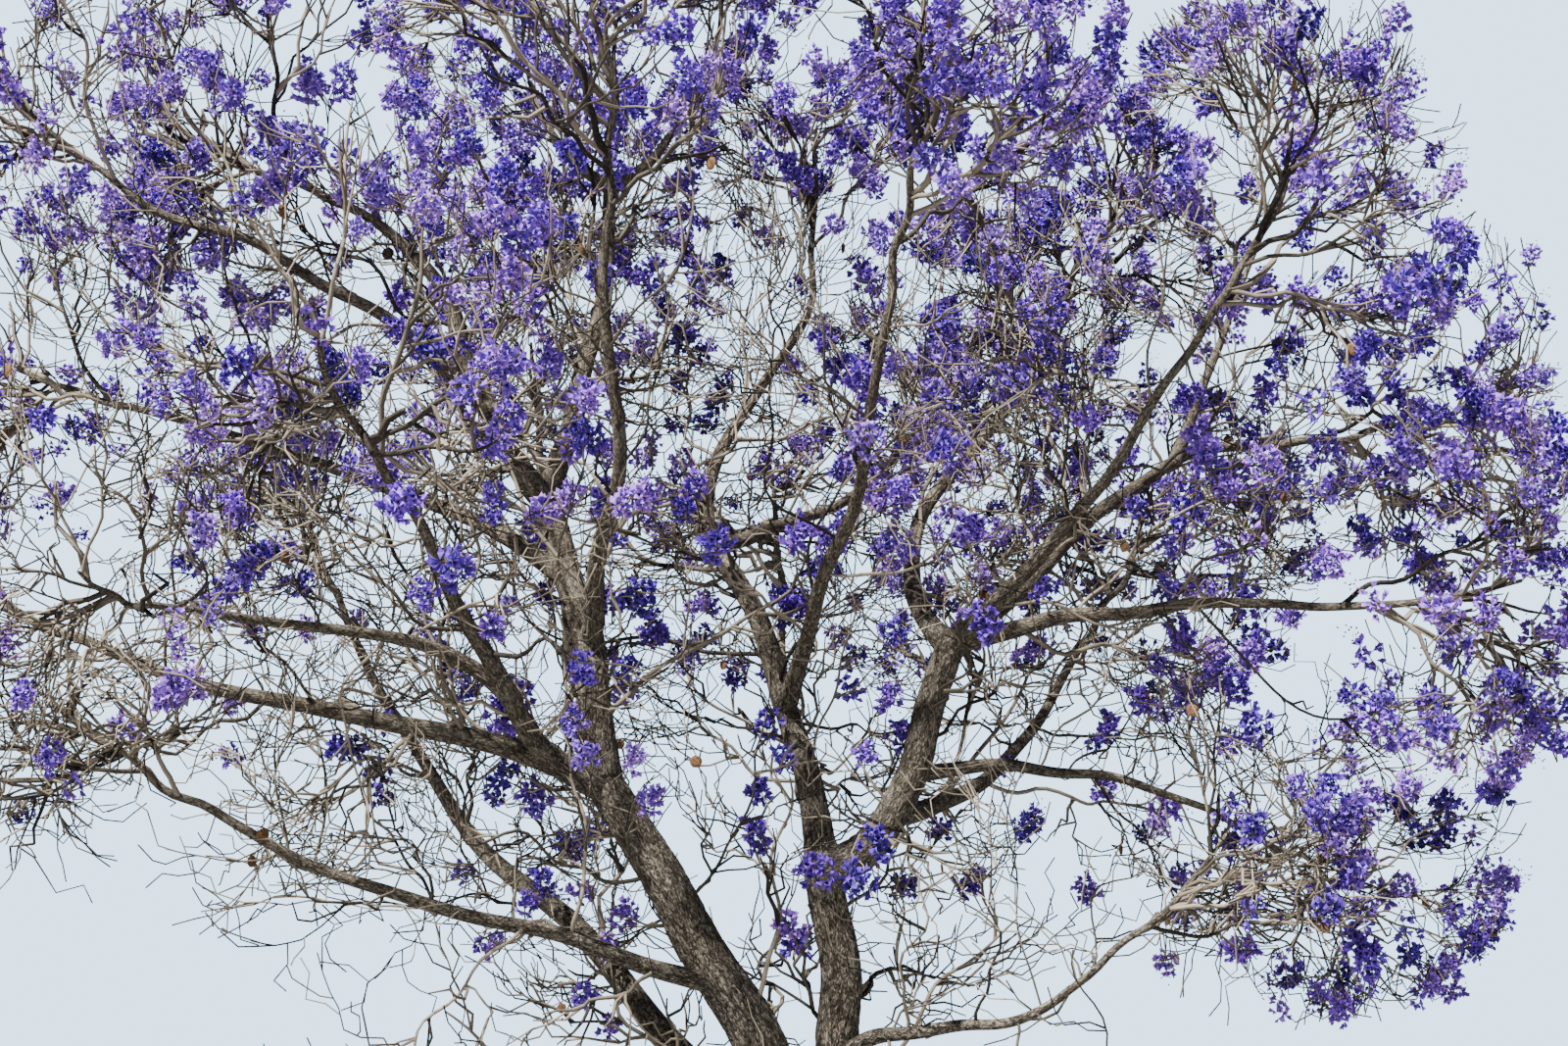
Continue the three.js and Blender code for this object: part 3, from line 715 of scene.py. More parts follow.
def bloom_at(point):
    """Blossom is thickest high up and on the right, and thin low down on the left."""
    rise = (point[2] - CROWN_MIDDLE[2]) / CROWN_RADII[2]
    right = (point[0] - CROWN_MIDDLE[0]) / CROWN_RADII[0]
    return BLOOM_MIDDLE + BLOOM_RISE * rise + BLOOM_RIGHT * right


def has_spray(twig, share):
    """The CAD rule's own draw for whether a twig ends in blossom."""
    draw = draws_from(twig.seed)
    draw()
    draw()
    return draw() <= bloom_at(twig.points[-1]) * share


print("bloom low on the left and high on the right:", [
    round(bloom_at(CROWN_MIDDLE + side * CROWN_RADII / 2), 2) for side in (-1, 1)
])

# %% Grow every mass
stems, branches, twigs, sprigs, sprays = [], [], [], [], []


def grow_spray(space, twig, share=1.0):
    """Sprigs along a twig. Together they are one spray, which blooms or stays bare."""
    tips = [twig]
    kind = WHIP if twig.points[-1][2] > WHIPS_ABOVE else SPRIG
    for k in range(kind["count"]):
        sprig = grow_side(kind, space, twig, k, child_seed(twig.seed, k))
        if sprig is not None:
            sprigs.append(sprig)
            tips.append(sprig)
    sprays.append((space, twig, tips, has_spray(twig, share)))


for i, row in enumerate(BOUGHS):
    bough, space = limbs[row[0]], spaces[i]
    seed = FIRST_SEEDS["mass"] + FIRST_SEEDS["mass_step"] * i
    start = bough.tip + bough.end_way * JOINT_GAP
    own = limb_names.index(row[0])
    length, radius = space.reach * STEM["length"], float(bough.radius_at(1.0))
    stem = grow_twig(STEM, space, own, start, bough.end_way, length, radius, seed)
    stem.refine(start)
    stems.append(stem)
    for j in range(BRANCH["count"]):
        branch = grow_side(BRANCH, space, stem, j, child_seed(seed, j))
        if branch is None:
            continue
        branches.append(branch)
        for k in range(TWIG["count"]):
            twig = grow_side(TWIG, space, branch, k, child_seed(branch.seed, k))
            if twig is not None:
                twigs.append(twig)
                grow_spray(space, twig)
        grow_spray(space, branch)
    grow_spray(space, stem)
print("stems, branches, twigs, sprigs:", [len(kind) for kind in (stems, branches, twigs, sprigs)])

# %% [markdown]
# ## Branches inside the crown
# Inside the crown of a real jacaranda, thin winding branches leave the leaders and boughs all along
# their length, and most of them are bare. Scattering them over the limbs' faces would lose their
# seeds, so they follow the same rule: each starts at a seeded place on its limb, strays, lifts to
# the light, and carries twigs and sprigs. A few of them bloom, more of them high in the crown.

# %% Inner branches
INNER = {
    "thin": 0.55, "steps": 5, "lift": 0.9, "wander": 0.48, "fine": 85, "bend": 0.03, "shown": 1.05,
}
INNER_SPREAD = (42, 82)
INNER_SPACING = 230
INNER_LENGTH = (600, 1900)
INNER_RADIUS = (9, 19)
INNER_THICKEST = 0.3
INNER_FIRST = 0.16
INNER_LIFT = 0.25
INNER_FARTHEST = 0.98
INNER_BLOOM = (0.15, 0.23)
INNER_BLOOM_HEIGHTS = (5300, 7000)
INNER_FULLNESS = 1.25
INNER_TWIG = {**TWIG, "count": 4, "first": 0.2, "wander": 0.5}
INNER_TWIG_UNIT = 1100
SHOOT_SEED_STEP = 7919
ALONG_STEP = 0.01
WHOLE_CROWN = 9000
crown = Space(CROWN_MIDDLE, WHOLE_CROWN, INNER_TWIG_UNIT, 1.0, INNER_FULLNESS)


def inner_bloom(twig):
    """The share of inner twigs that bloom: few low in the crown, more high up."""
    return between(INNER_BLOOM, share_of(INNER_BLOOM_HEIGHTS, twig.points[-1][2]))


inner_branches = []
for number, limb in enumerate(limbs.values()):
    if limb.name == "trunk":
        continue
    for k in range(round(limb.length * (1 - INNER_FIRST) / INNER_SPACING)):
        seed = FIRST_SEEDS["shoot"] + FIRST_SEEDS["shoot_step"] * number + k * SHOOT_SEED_STEP
        draw = draws_from(seed)
        share = between((INNER_FIRST, INNER_FARTHEST), draw())
        start, ahead = limb.at(np.array([share, share + ALONG_STEP]))
        way = unit(ahead - start)
        side = unit(turned(sideways(way), way, draw() * math.tau) + UP * INNER_LIFT)
        spread = math.radians(between(INNER_SPREAD, draw()))
        heading = unit(way * math.cos(spread) + side * math.sin(spread))
        length = between(INNER_LENGTH, draw())
        radius = min(between(INNER_RADIUS, draw()), float(limb.radius_at(share)) * INNER_THICKEST)
        branch = grow_twig(INNER, crown, number, start, heading, length, radius, seed)
        if branch is None:
            continue
        branch.refine(start)
        inner_branches.append(branch)
        for j in range(INNER_TWIG["count"]):
            twig = grow_side(INNER_TWIG, crown, branch, j, child_seed(seed, j))
            if twig is not None:
                twigs.append(twig)
                grow_spray(crown, twig, inner_bloom(twig))
        grow_spray(crown, branch, inner_bloom(branch))
print("inner branches:", len(inner_branches), "twigs:", len(twigs), "sprigs:", len(sprigs))

# %% [markdown]
# ## Bark
# Old jacaranda bark is grey-brown and cracked into long plates. Higher up it is smoother and paler.
# A picture of bark could be wrapped round the wood, but it would stretch and repeat, and noise does
# neither. The cracks must run along the limb, so the pattern can't read plain object coordinates.
# Each swept limb carries a vector called grain: its place across the limb, and its place along the
# limb shortened, so that noise on it comes out drawn out along the wood.

# %% Material helpers
def crack_pattern(tree, grain, scale, width):
    """0 in a crack and 1 on a plate: cracks run where a noise passes through its middle value."""
    noise = add_node(tree, "ShaderNodeTexNoise", {
        "Vector": grain, "Scale": scale, "Detail": 2.0, "Roughness": 0.5, "Distortion": 0.4,
    })
    off = maths(tree, "ABSOLUTE", maths(tree, "SUBTRACT", noise.outputs[0], 0.5))
    return maths(tree, "DIVIDE", off, width, clamp=True)


def noise_on(tree, vector, scale):
    sockets = {"Vector": vector, "Scale": scale, "Detail": 3.0, "Roughness": 0.6}
    return add_node(tree, "ShaderNodeTexNoise", sockets).outputs[0]


def mix_colour(tree, share, first, second, blend="MIX"):
    sockets = {"Factor": share, 6: first, 7: second}
    return add_node(tree, "ShaderNodeMix", sockets, data_type="RGBA", blend_type=blend).outputs[2]


def ramp(tree, value, low, high):
    """0 at low, 1 at high, smooth between."""
    sockets = {"Value": value, "From Min": low, "From Max": high}
    return add_node(tree, "ShaderNodeMapRange", sockets, interpolation_type="SMOOTHSTEP").outputs[0]


def lifted(tree, value, least):
    """Squeezes a value from 0 to 1 into the range from least to 1."""
    sockets = {"Value": value, "To Min": least}
    return add_node(tree, "ShaderNodeMapRange", sockets).outputs[0]


def carried(tree, name):
    """A number that the piece's own points carry."""
    return add_node(tree, "ShaderNodeAttribute", attribute_name=name).outputs["Fac"]


def object_place(tree):
    return add_node(tree, "ShaderNodeTexCoord").outputs["Object"]


def bump(tree, surface, height, distance):
    sockets = {"Height": height, "Distance": distance, "Strength": 1.0}
    tree.links.new(add_node(tree, "ShaderNodeBump", sockets).outputs[0], surface.inputs["Normal"])


def new_material(name, roughness, specular):
    material = bpy.data.materials.new(name)
    material.use_nodes = True
    surface = material.node_tree.nodes["Principled BSDF"]
    surface.inputs["Roughness"].default_value = roughness
    surface.inputs["Specular IOR Level"].default_value = specular
    return material, material.node_tree, surface


# %% Wood colours
def srgb(red, green, blue):
    """Turns a screen colour, 0 to 255, into the linear colour that Blender works with."""
    shares = [part / 255 for part in (red, green, blue)]
    linear = [share / 12.92 if share <= 0.04045 else ((share + 0.055) / 1.055) ** 2.4 for share in shares]
    return (*linear, 1.0)


WOOD_COLOURS = {
    # crack and young_crack: the fissures' own darker bark, darkened further with painted shade
    "crack": srgb(10, 8, 6),
    "grey_plate": srgb(80, 75, 68),
    "warm_plate": srgb(90, 74, 60),
    "worn_plate": srgb(170, 163, 152),
    "young_crack": srgb(34, 27, 22),
    "young_dark": srgb(72, 65, 56),
    "young_pale": srgb(144, 137, 124),
    "lichen": srgb(128, 126, 112),
    "twig_dark": srgb(38, 33, 29),
    "twig_pale": srgb(168, 157, 140),
    "pore": srgb(150, 140, 124),
}
print("wood colours:", list(WOOD_COLOURS))

# %% Bark and twig skin
GRAIN_STRETCH = 0.42
RIDGE_SCALE = 24
RIDGE_WIDTH = 0.1
CRACK_SCALE = 58
CRACK_WIDTH = 0.08
WORN_SCALE = 110
WORN_RAMP = (0.36, 0.64)
PATCH_SCALE = 2.2
PATCH_RAMP = (0.42, 0.62)
LICHEN_SCALE = 7
LICHEN_RAMP = (0.58, 0.72)
LICHEN_SHARE = 0.4
# how much of the plates' colour the deepest places keep: in ridges, in cracks and on young wood.
# The near-black there is partly the fissures' own darker bark and partly painted shade.
RIDGE_LEAST = 0.05
CRACK_LEAST = 0.2
YOUNG_LEAST = 0.3
BARK_RELIEF = 0.008
YOUNG_RELIEF = 0.25
WORN_RELIEF = 0.3
PORE_SCALE = 60
PORE_RAMP = (0.55, 0.7)
PORE_SHARE = 0.3
PORE_RELIEF = 0.002


def make_bark():
    """Cracked grey-brown plates on old wood, and smooth tan-grey skin on young wood.
    Their cracks are near black: partly the fissures' own darker bark, partly painted shade.
    """
    material, tree, surface = new_material("jacaranda_bark", roughness=0.92, specular=0.2)
    grain = add_node(tree, "ShaderNodeAttribute", attribute_name="grain").outputs["Vector"]
    age, place = carried(tree, "age"), object_place(tree)
    ridge = crack_pattern(tree, grain, RIDGE_SCALE, RIDGE_WIDTH)
    crack = crack_pattern(tree, grain, CRACK_SCALE, CRACK_WIDTH)
    plate = maths(tree, "MULTIPLY", lifted(tree, ridge, RIDGE_LEAST), lifted(tree, crack, CRACK_LEAST))
    worn = ramp(tree, noise_on(tree, grain, WORN_SCALE), *WORN_RAMP)
    patch = ramp(tree, noise_on(tree, place, PATCH_SCALE), *PATCH_RAMP)
    face = mix_colour(tree, patch, WOOD_COLOURS["grey_plate"], WOOD_COLOURS["warm_plate"])
    face = mix_colour(tree, worn, face, WOOD_COLOURS["worn_plate"])
    # painted shade: on old wood the colour falls to near black in the cracks, past the bark's own darkness
    old_bark = mix_colour(tree, plate, WOOD_COLOURS["crack"], face)
    young_face = mix_colour(tree, worn, WOOD_COLOURS["young_dark"], WOOD_COLOURS["young_pale"])
    # painted shade: the cracks of young wood are darkened the same way, less deeply
    young_plate = lifted(tree, plate, YOUNG_LEAST)
    young_bark = mix_colour(tree, young_plate, WOOD_COLOURS["young_crack"], young_face)
    colour = mix_colour(tree, age, young_bark, old_bark)
    lichen = ramp(tree, noise_on(tree, place, LICHEN_SCALE), *LICHEN_RAMP)
    spots = maths(tree, "MULTIPLY", lichen, LICHEN_SHARE)
    colour = mix_colour(tree, spots, colour, WOOD_COLOURS["lichen"])
    tree.links.new(colour, surface.inputs["Base Color"])
    raised = maths(tree, "MULTIPLY", plate, lifted(tree, age, YOUNG_RELIEF))
    height = maths(tree, "ADD", raised, maths(tree, "MULTIPLY", worn, WORN_RELIEF))
    bump(tree, surface, height, BARK_RELIEF)
    return material


def make_twig_skin():
    """Tan-grey twigs: each has its own tone, with pale pores."""
    material, tree, surface = new_material("twig_skin", roughness=0.85, specular=0.3)
    speckle = noise_on(tree, object_place(tree), PORE_SCALE)
    skin = mix_colour(tree, carried(tree, "tone"), WOOD_COLOURS["twig_dark"], WOOD_COLOURS["twig_pale"])
    pores = maths(tree, "MULTIPLY", ramp(tree, speckle, *PORE_RAMP), PORE_SHARE)
    tree.links.new(mix_colour(tree, pores, skin, WOOD_COLOURS["pore"]), surface.inputs["Base Color"])
    bump(tree, surface, speckle, PORE_RELIEF)
    return material


bark = make_bark()
twig_skin = make_twig_skin()
print("wood materials:", bark.name, twig_skin.name)

# %% [markdown]
# ## Sweeping wood along lines
# Each limb and twig starts as a chain of edges whose points carry a girth. Geometry Nodes turn the
# chains into curves and sweep a circle along them. Curve objects with a bevel would do it too, one
# by one; this is the quickest way to thousands of tapering tubes, and one tree of nodes serves the
# leaders, boughs, branches and sprigs alike.

# %% The sweeping tree
def make_sweep_tree():
    tree, given = geometry_tree("sweep_wood", {
        "Sides": ("Int", 8),
        "Grain Stretch": ("Float", GRAIN_STRETCH),
        "Material": ("Material", None),
    })
    rail = add_node(tree, "GeometryNodeMeshToCurve", {"Mesh": given["Geometry"]}).outputs[0]
    sockets = {"Resolution": given["Sides"], "Radius": 1.0}
    circle = add_node(tree, "GeometryNodeCurvePrimitiveCircle", sockets).outputs["Curve"]
    spot = add_node(tree, "GeometryNodeInputPosition").outputs[0]
    ring = store_attribute(tree, circle, "ring", spot, "FLOAT_VECTOR")
    girth = read_attribute(tree, "girth")
    tube = add_node(tree, "GeometryNodeCurveToMesh", {
        "Curve": rail, "Profile Curve": ring, "Scale": girth, "Fill Caps": True,
    }).outputs[0]
    across = vector_maths(tree, "SCALE", read_attribute(tree, "ring", "FLOAT_VECTOR"), scale=girth)
    along = maths(tree, "MULTIPLY", read_attribute(tree, "along"), given["Grain Stretch"])
    lift = add_node(tree, "ShaderNodeCombineXYZ", {"Z": along}).outputs[0]
    grain = vector_maths(tree, "ADD", across, lift)
    grained = store_attribute(tree, tube, "grain", grain, "FLOAT_VECTOR")
    finish_tree(tree, smoothed(tree, grained), given["Material"])
    return tree


sweep_wood = make_sweep_tree()
print("sweeping tree:", len(sweep_wood.nodes), "nodes")

# %% Chains of edges
CHAIN_SHIFT = 1.7


def set_attribute(mesh, name, kind, values):
    layer = mesh.attributes.new(name, kind, "POINT")
    layer.data.foreach_set("vector" if kind == "FLOAT_VECTOR" else "value", np.ravel(values))


def chains(name, lines, radii, tones, ages):
    """A mesh of edge chains, one for each line, with girth, along, tone and age on its points."""
    mesh = bpy.data.meshes.new(name)
    counts = np.array([len(line) for line in lines])
    points = np.vstack(lines) * MM
    first = np.setdiff1d(np.arange(len(points)), np.cumsum(counts) - 1)
    mesh.vertices.add(len(points))
    mesh.vertices.foreach_set("co", points.ravel())
    mesh.edges.add(len(first))
    mesh.edges.foreach_set("vertices", np.column_stack([first, first + 1]).ravel())
    steps = [np.append(0, np.linalg.norm(np.diff(line, axis=0), axis=1)) for line in lines]
    along = np.concatenate([np.cumsum(step) for step in steps])
    shift = np.repeat(np.arange(len(lines)) * CHAIN_SHIFT, counts)
    set_attribute(mesh, "girth", "FLOAT", np.concatenate(radii) * MM)
    set_attribute(mesh, "along", "FLOAT", along * MM + shift)
    set_attribute(mesh, "tone", "FLOAT", np.repeat(tones, counts))
    set_attribute(mesh, "age", "FLOAT", np.concatenate(ages) if ages else np.zeros(len(points)))
    return new_object(name, mesh)


def sweep(name, lines, radii, tones, sides, material, ages=None):
    holder = chains(name, lines, radii, tones, ages)
    add_modifier(holder, sweep_wood, {"Sides": sides, "Material": material})
    return settle(holder, name)


# %% Sweep the leaders
LEADER_SPACING = 40
LEADER_SIDES = 28
OLD_TO = 1.4
YOUNG_FROM = 6.4
# how far a dome rises over a limb's end, and its radius there, as shares of the limb's radius
DOME = ((0.5, 0.87), (0.85, 0.53), (1.0, 0.12))


def age_at(from_ground):
    """1 for old bark near the ground, falling to 0 along the wood."""
    return np.clip((YOUNG_FROM - from_ground * MM) / (YOUNG_FROM - OLD_TO), 0, 1)


def limb_line(limb, spacing):
    """Points, radii and bark ages along a limb."""
    shares = np.linspace(0, 1, round(limb.length / spacing) + 1)
    return limb.at(shares), limb.radius_at(shares), age_at(limb.from_ground + shares * limb.length)


def rounded_end(line, radii, ages):
    """Adds a dome to the end of a line, so that a limb's end melts into the limbs that leave it."""
    lifts, widths = np.array(DOME).T
    dome = line[-1] + unit(line[-1] - line[-2]) * radii[-1] * lifts[:, None]
    dome_ages = np.full(len(DOME), ages[-1])
    return np.vstack([line, dome]), np.append(radii, radii[-1] * widths), np.append(ages, dome_ages)


leader_rows = [rounded_end(*limb_line(limbs[row[0]], LEADER_SPACING)) for row in LEADERS]
lines, radii, ages = zip(*leader_rows)
leader_tubes = sweep("leader_tubes", lines, radii, np.zeros(len(LEADERS)), LEADER_SIDES, bark, ages)
print("leader tubes:", triangles(leader_tubes), "triangles")

# %% [markdown]
# ## The trunk
# The trunk is not round: its foot spreads into five root ridges that sink into the ground. A swept
# circle can't have ridges, and sculpting them would part them from the CAD model. A grid of rings
# whose radius follows the CAD model's own formula gives them, with a flat cut at ground level.

# %% Trunk rings
TRUNK_RINGS = 36
TRUNK_SIDES = 96


def make_trunk_tube():
    shares = np.linspace(0, 1, TRUNK_RINGS + 1)
    angles = np.arange(TRUNK_SIDES) * math.tau / TRUNK_SIDES
    middles = limbs["trunk"].at(shares)
    radius = trunk_radius(shares[:, None], math.pi - angles[None, :])
    ring = np.stack([np.cos(angles), np.sin(angles), np.zeros(TRUNK_SIDES)], axis=1)
    points = middles[:, None, :] + ring[None, :, :] * radius[:, :, None]
    faces = []
    for i in range(TRUNK_RINGS):
        for j in range(TRUNK_SIDES):
            a, b = i * TRUNK_SIDES + j, i * TRUNK_SIDES + (j + 1) % TRUNK_SIDES
            faces.append((a, b, b + TRUNK_SIDES, a + TRUNK_SIDES))
    faces.append(tuple(range(TRUNK_SIDES - 1, -1, -1)))
    faces.append(tuple(TRUNK_RINGS * TRUNK_SIDES + j for j in range(TRUNK_SIDES)))
    mesh = bpy.data.meshes.new("trunk_tube")
    mesh.from_pydata(points.reshape(-1, 3) * MM, [], faces)
    grain = ring[None, :, :] * radius[:, :, None] + middles[:, None, 2:] * UP * GRAIN_STRETCH
    set_attribute(mesh, "grain", "FLOAT_VECTOR", grain.reshape(-1, 3) * MM)
    set_attribute(mesh, "girth", "FLOAT", np.repeat(limbs["trunk"].radius_at(shares), TRUNK_SIDES) * MM)
    set_attribute(mesh, "age", "FLOAT", np.repeat(age_at(shares * TRUNK_HEIGHT), TRUNK_SIDES))
    return new_object("trunk_tube", mesh)


trunk_tube = make_trunk_tube()
print("trunk tube:", triangles(trunk_tube), "triangles")

# %% [markdown]
# ## Melting the forks together
# Tubes that only run into each other show a hard crease at every fork, where real wood flows. Exact
# unions keep those creases. A voxel remesh turns trunk and leaders into one skin instead, a few
# rounds of smoothing round the creases, and then the grain is read back from the nearest tube.
# Last, the bark's plates are raised along the normals, with a crack pattern like the one that
# colours them.

# %% One skin for trunk and leaders
VOXEL = 0.0175
SMOOTH_ROUNDS = 7
SMOOTH_FACTOR = 0.5
GROUND_SNAP = 0.012
RELIEF_SCALE = 20
RELIEF_MIDDLE = 0.75


def make_bark_tree():
    tree, given = geometry_tree("raise_bark", {
        "Tubes": ("Object", None),
        "Relief Share": ("Float", 0.05),
        "Most Relief": ("Float", 0.009),
        "Material": ("Material", None),
    })
    tubes = add_node(tree, "GeometryNodeObjectInfo", {"Object": given["Tubes"]}).outputs["Geometry"]
    geometry = given["Geometry"]
    for name, kind in (("grain", "FLOAT_VECTOR"), ("girth", "FLOAT"), ("age", "FLOAT")):
        sample = add_node(tree, "GeometryNodeSampleNearestSurface", {"Mesh": tubes}, data_type=kind)
        tree.links.new(read_attribute(tree, name, kind), sample.inputs["Value"])
        geometry = store_attribute(tree, geometry, name, sample.outputs["Value"], kind)
    plate = crack_pattern(tree, read_attribute(tree, "grain", "FLOAT_VECTOR"), RELIEF_SCALE, RIDGE_WIDTH)
    deep = maths(tree, "MULTIPLY", read_attribute(tree, "girth"), given["Relief Share"])
    deep = maths(tree, "MINIMUM", deep, given["Most Relief"])
    height = maths(tree, "MULTIPLY", maths(tree, "SUBTRACT", plate, RELIEF_MIDDLE), deep)
    normal = add_node(tree, "GeometryNodeInputNormal").outputs[0]
    raised = add_node(tree, "GeometryNodeSetPosition", {
        "Geometry": geometry, "Offset": vector_maths(tree, "SCALE", normal, scale=height),
    }).outputs[0]
    finish_tree(tree, smoothed(tree, raised), given["Material"])
    return tree


wood_tubes = trunk_tube
joined = [wood_tubes, leader_tubes]
with bpy.context.temp_override(active_object=wood_tubes, selected_editable_objects=joined):
    bpy.ops.object.join()
skin = new_object("skin", wood_tubes.data.copy())
remesh = skin.modifiers.new("one_skin", "REMESH")
remesh.mode = "VOXEL"
remesh.voxel_size = VOXEL
rounding = skin.modifiers.new("round_forks", "SMOOTH")
rounding.factor = SMOOTH_FACTOR
rounding.iterations = SMOOTH_ROUNDS
add_modifier(skin, make_bark_tree(), {"Tubes": wood_tubes, "Material": bark})
trunk_and_leaders = settle(skin, "trunk_and_leaders")
bpy.data.objects.remove(wood_tubes)

# %% Flatten the cut at ground level
skin_points = trunk_and_leaders.data.vertices
places = np.zeros((len(skin_points), 3))
skin_points.foreach_get("co", places.ravel())
places[places[:, 2] < GROUND_SNAP, 2] = 0
skin_points.foreach_set("co", places.ravel())
trunk_and_leaders.data.update()
print("trunk and leaders:", triangles(trunk_and_leaders), "triangles")

# %% [markdown]
# ## Boughs and twigs
# Each bough runs on into the stem of its mass without a joint, so both are one line and one tube.
# Branches, twigs and sprigs are swept with fewer and fewer sides: a sprig is only a centimetre or so
# thick and no one sees its section. Bare twigs look alike until their tones differ, and most of them
# are dark with a few pale ones, so the tone's draw is raised to a power.

# %% Sweep boughs, branches, twigs and sprigs
BOUGH_SPACING = 42
BOUGH_SIDES = 10
TONE_POWER = 1.7

bough_lines, bough_radii, bough_ages = [], [], []
for row, stem in zip(BOUGHS, stems):
    line, radii, ages = limb_line(limbs[row[0]], BOUGH_SPACING)
    bough_lines.append(np.vstack([line[:-1], stem.line]))
    bough_radii.append(np.concatenate([radii[:-1], stem.radii]))
    bough_ages.append(np.concatenate([ages[:-1], np.full(len(stem.line), ages[-1])]))
boughs = sweep("boughs", bough_lines, bough_radii, np.zeros(len(BOUGHS)), BOUGH_SIDES, bark, bough_ages)


def sweep_twigs(name, group, sides):
    draws = [draws_from(twig.seed + SEED_SHIFTS["tone"])() for twig in group]
    lines, radii = [twig.line for twig in group], [twig.radii for twig in group]
    return sweep(name, lines, radii, np.array(draws) ** TONE_POWER, sides, twig_skin)


twig_groups = {
    "branches": (branches, 5),
    "inner_branches": (inner_branches, 4),
    "twigs": (twigs, 3),
    "sprigs_left": ([sprig for sprig in sprigs if sprig.points[0][0] < CROWN_MIDDLE[0]], 3),
    "sprigs_right": ([sprig for sprig in sprigs if sprig.points[0][0] >= CROWN_MIDDLE[0]], 3),
}
wood = {"trunk_and_leaders": trunk_and_leaders, "boughs": boughs}
for name, (group, sides) in twig_groups.items():
    wood[name] = sweep_twigs(name, group, sides)
print({name: triangles(piece) for name, piece in wood.items()})

# %% [markdown]
# ## One flower, one panicle
# A jacaranda flower is a violet-blue trumpet, nearly five centimetres long, with flaring lobes. A
# subdivided bell would be truer, but the crown holds a hundred thousand flowers. Six triangles give
# the outline from a step away: a three-sided cone for the tube and a pointed lobe between its
# corners. The flowers hang closely round the side stalks of a panicle, and small buds stand round
# its top. Some kinds are full of flowers. Others, from the edge of the crown, are drawn out into
# spires and still half in bud. Each copy is turned and sized on its own, so five kinds are enough.

# %% A mesh piece by piece
class Shape:
    """Points and faces gathered piece by piece, with one value for each point."""

    def __init__(self):
        self.points, self.faces, self.values = [], [], []

    def add(self, points, faces, values):
        shift = sum(len(block) for block in self.points)
        self.points.append(np.asarray(points))
        self.faces += [tuple(shift + corner for corner in face) for face in faces]
        self.values.append(np.asarray(values, dtype=float))

    def make(self, name):
        mesh = bpy.data.meshes.new(name)
        mesh.from_pydata(np.vstack(self.points), [], self.faces)
        set_attribute(mesh, "depth", "FLOAT", np.concatenate(self.values))
        return bpy.data.objects.new(name, mesh)


def fan_of(way, count, turn=0.0):
    """Directions at right angles to a way, evenly spaced round it."""
    across = sideways(way)
    aside = cross(way, across)
    angles = [turn + k * math.tau / count for k in range(count)]
    return [across * math.cos(angle) + aside * math.sin(angle) for angle in angles]


# %% Flower, stalk and bud
FLOWER_LENGTH = 0.047
# how far along the flower, and how far out, as shares of its length
FLOWER_THROAT = (0.7, 0.33)
FLOWER_LOBE = (0.98, 0.48)
LOBES = 3
LOBE_SIZES = (0.8, 1.2)
BUD_SIZE = 0.016
BUD_SHOULDER = (0.9, 0.45)


def add_bell(shape, at, way, size, spin, draw):
    """A trumpet: a cone that widens from its stalk, and lobes that flare between its corners."""
    reach, width = FLOWER_THROAT
    throat = [at + (way * reach + out * width) * size for out in fan_of(way, LOBES, spin)]
    reach, width = FLOWER_LOBE
    lobes = [
        at + (way * reach + out * width * between(LOBE_SIZES, draw())) * size
        for out in fan_of(way, LOBES, spin + math.pi / LOBES)
    ]
    faces = []
    for k in range(LOBES):
        here, after = 1 + k, 1 + (k + 1) % LOBES
        faces += [(0, here, after), (here, here + LOBES, after)]
    shape.add([at, *throat, *lobes], faces, [0.0] + [0.5] * LOBES + [1.0] * LOBES)


def add_stalk(shape, start, end, radius):
    """A closed three-sided stalk that narrows to a point."""
    foot = [start + out * radius for out in fan_of(unit(end - start), 3)]
    shape.add([*foot, end], [(0, 2, 1), (0, 1, 3), (1, 2, 3), (2, 0, 3)], [0, 0, 0, 1])


def add_bud(shape, at, way):
    """A closed bud with four faces."""
    reach, width = BUD_SHOULDER
    ring = [at + (way * reach + out * width) * BUD_SIZE for out in fan_of(way, 3)]
    shape.add([at, *ring], [(0, 2, 1), (0, 3, 2), (0, 1, 3), (1, 2, 3)], [0, 1, 1, 1])


# %% Panicle kinds
PANICLE_LENGTH = 0.22
# flowers, side stalks with flowers, side stalks among the buds, buds, and how far it is drawn out
PANICLE_KINDS = [
    (54, 7, 0, 2, 1.0), (48, 7, 1, 3, 1.0), (40, 6, 1, 4, 1.05), (22, 5, 3, 11, 1.35), (13, 4, 4, 12, 1.45),
]
FULL_KINDS = 3
PANICLE_SEED = 5000
PANICLE_SEED_STEP = 31
PANICLE_BEND = 0.3
STALK_RADIUS = 0.0045
SIDE_STALK_RADIUS = 0.0026
SIDE_STALK_PLACES = (0.22, 0.92)
SIDE_STALK_REACH = (0.074, 0.03)
SIDE_STALK_SIZES = (0.85, 1.15)
SIDE_STALK_LIFT = (0.3, 0.9)
HUNG_SHARE = 0.75
HUNG_OFF = 0.008
FLOWER_OUT = 0.45
FLOWER_FAN = 0.7
FLOWER_TILTS = (-0.95, 0.25)
FLOWER_SIZES = (0.8, 1.15)
BUD_PLACES = (1.0, 0.6)
BUD_REACH = (0.015, 0.05)
BUD_LIFT = 0.9


def level_way(angle):
    return np.array([math.cos(angle), math.sin(angle), 0.0])


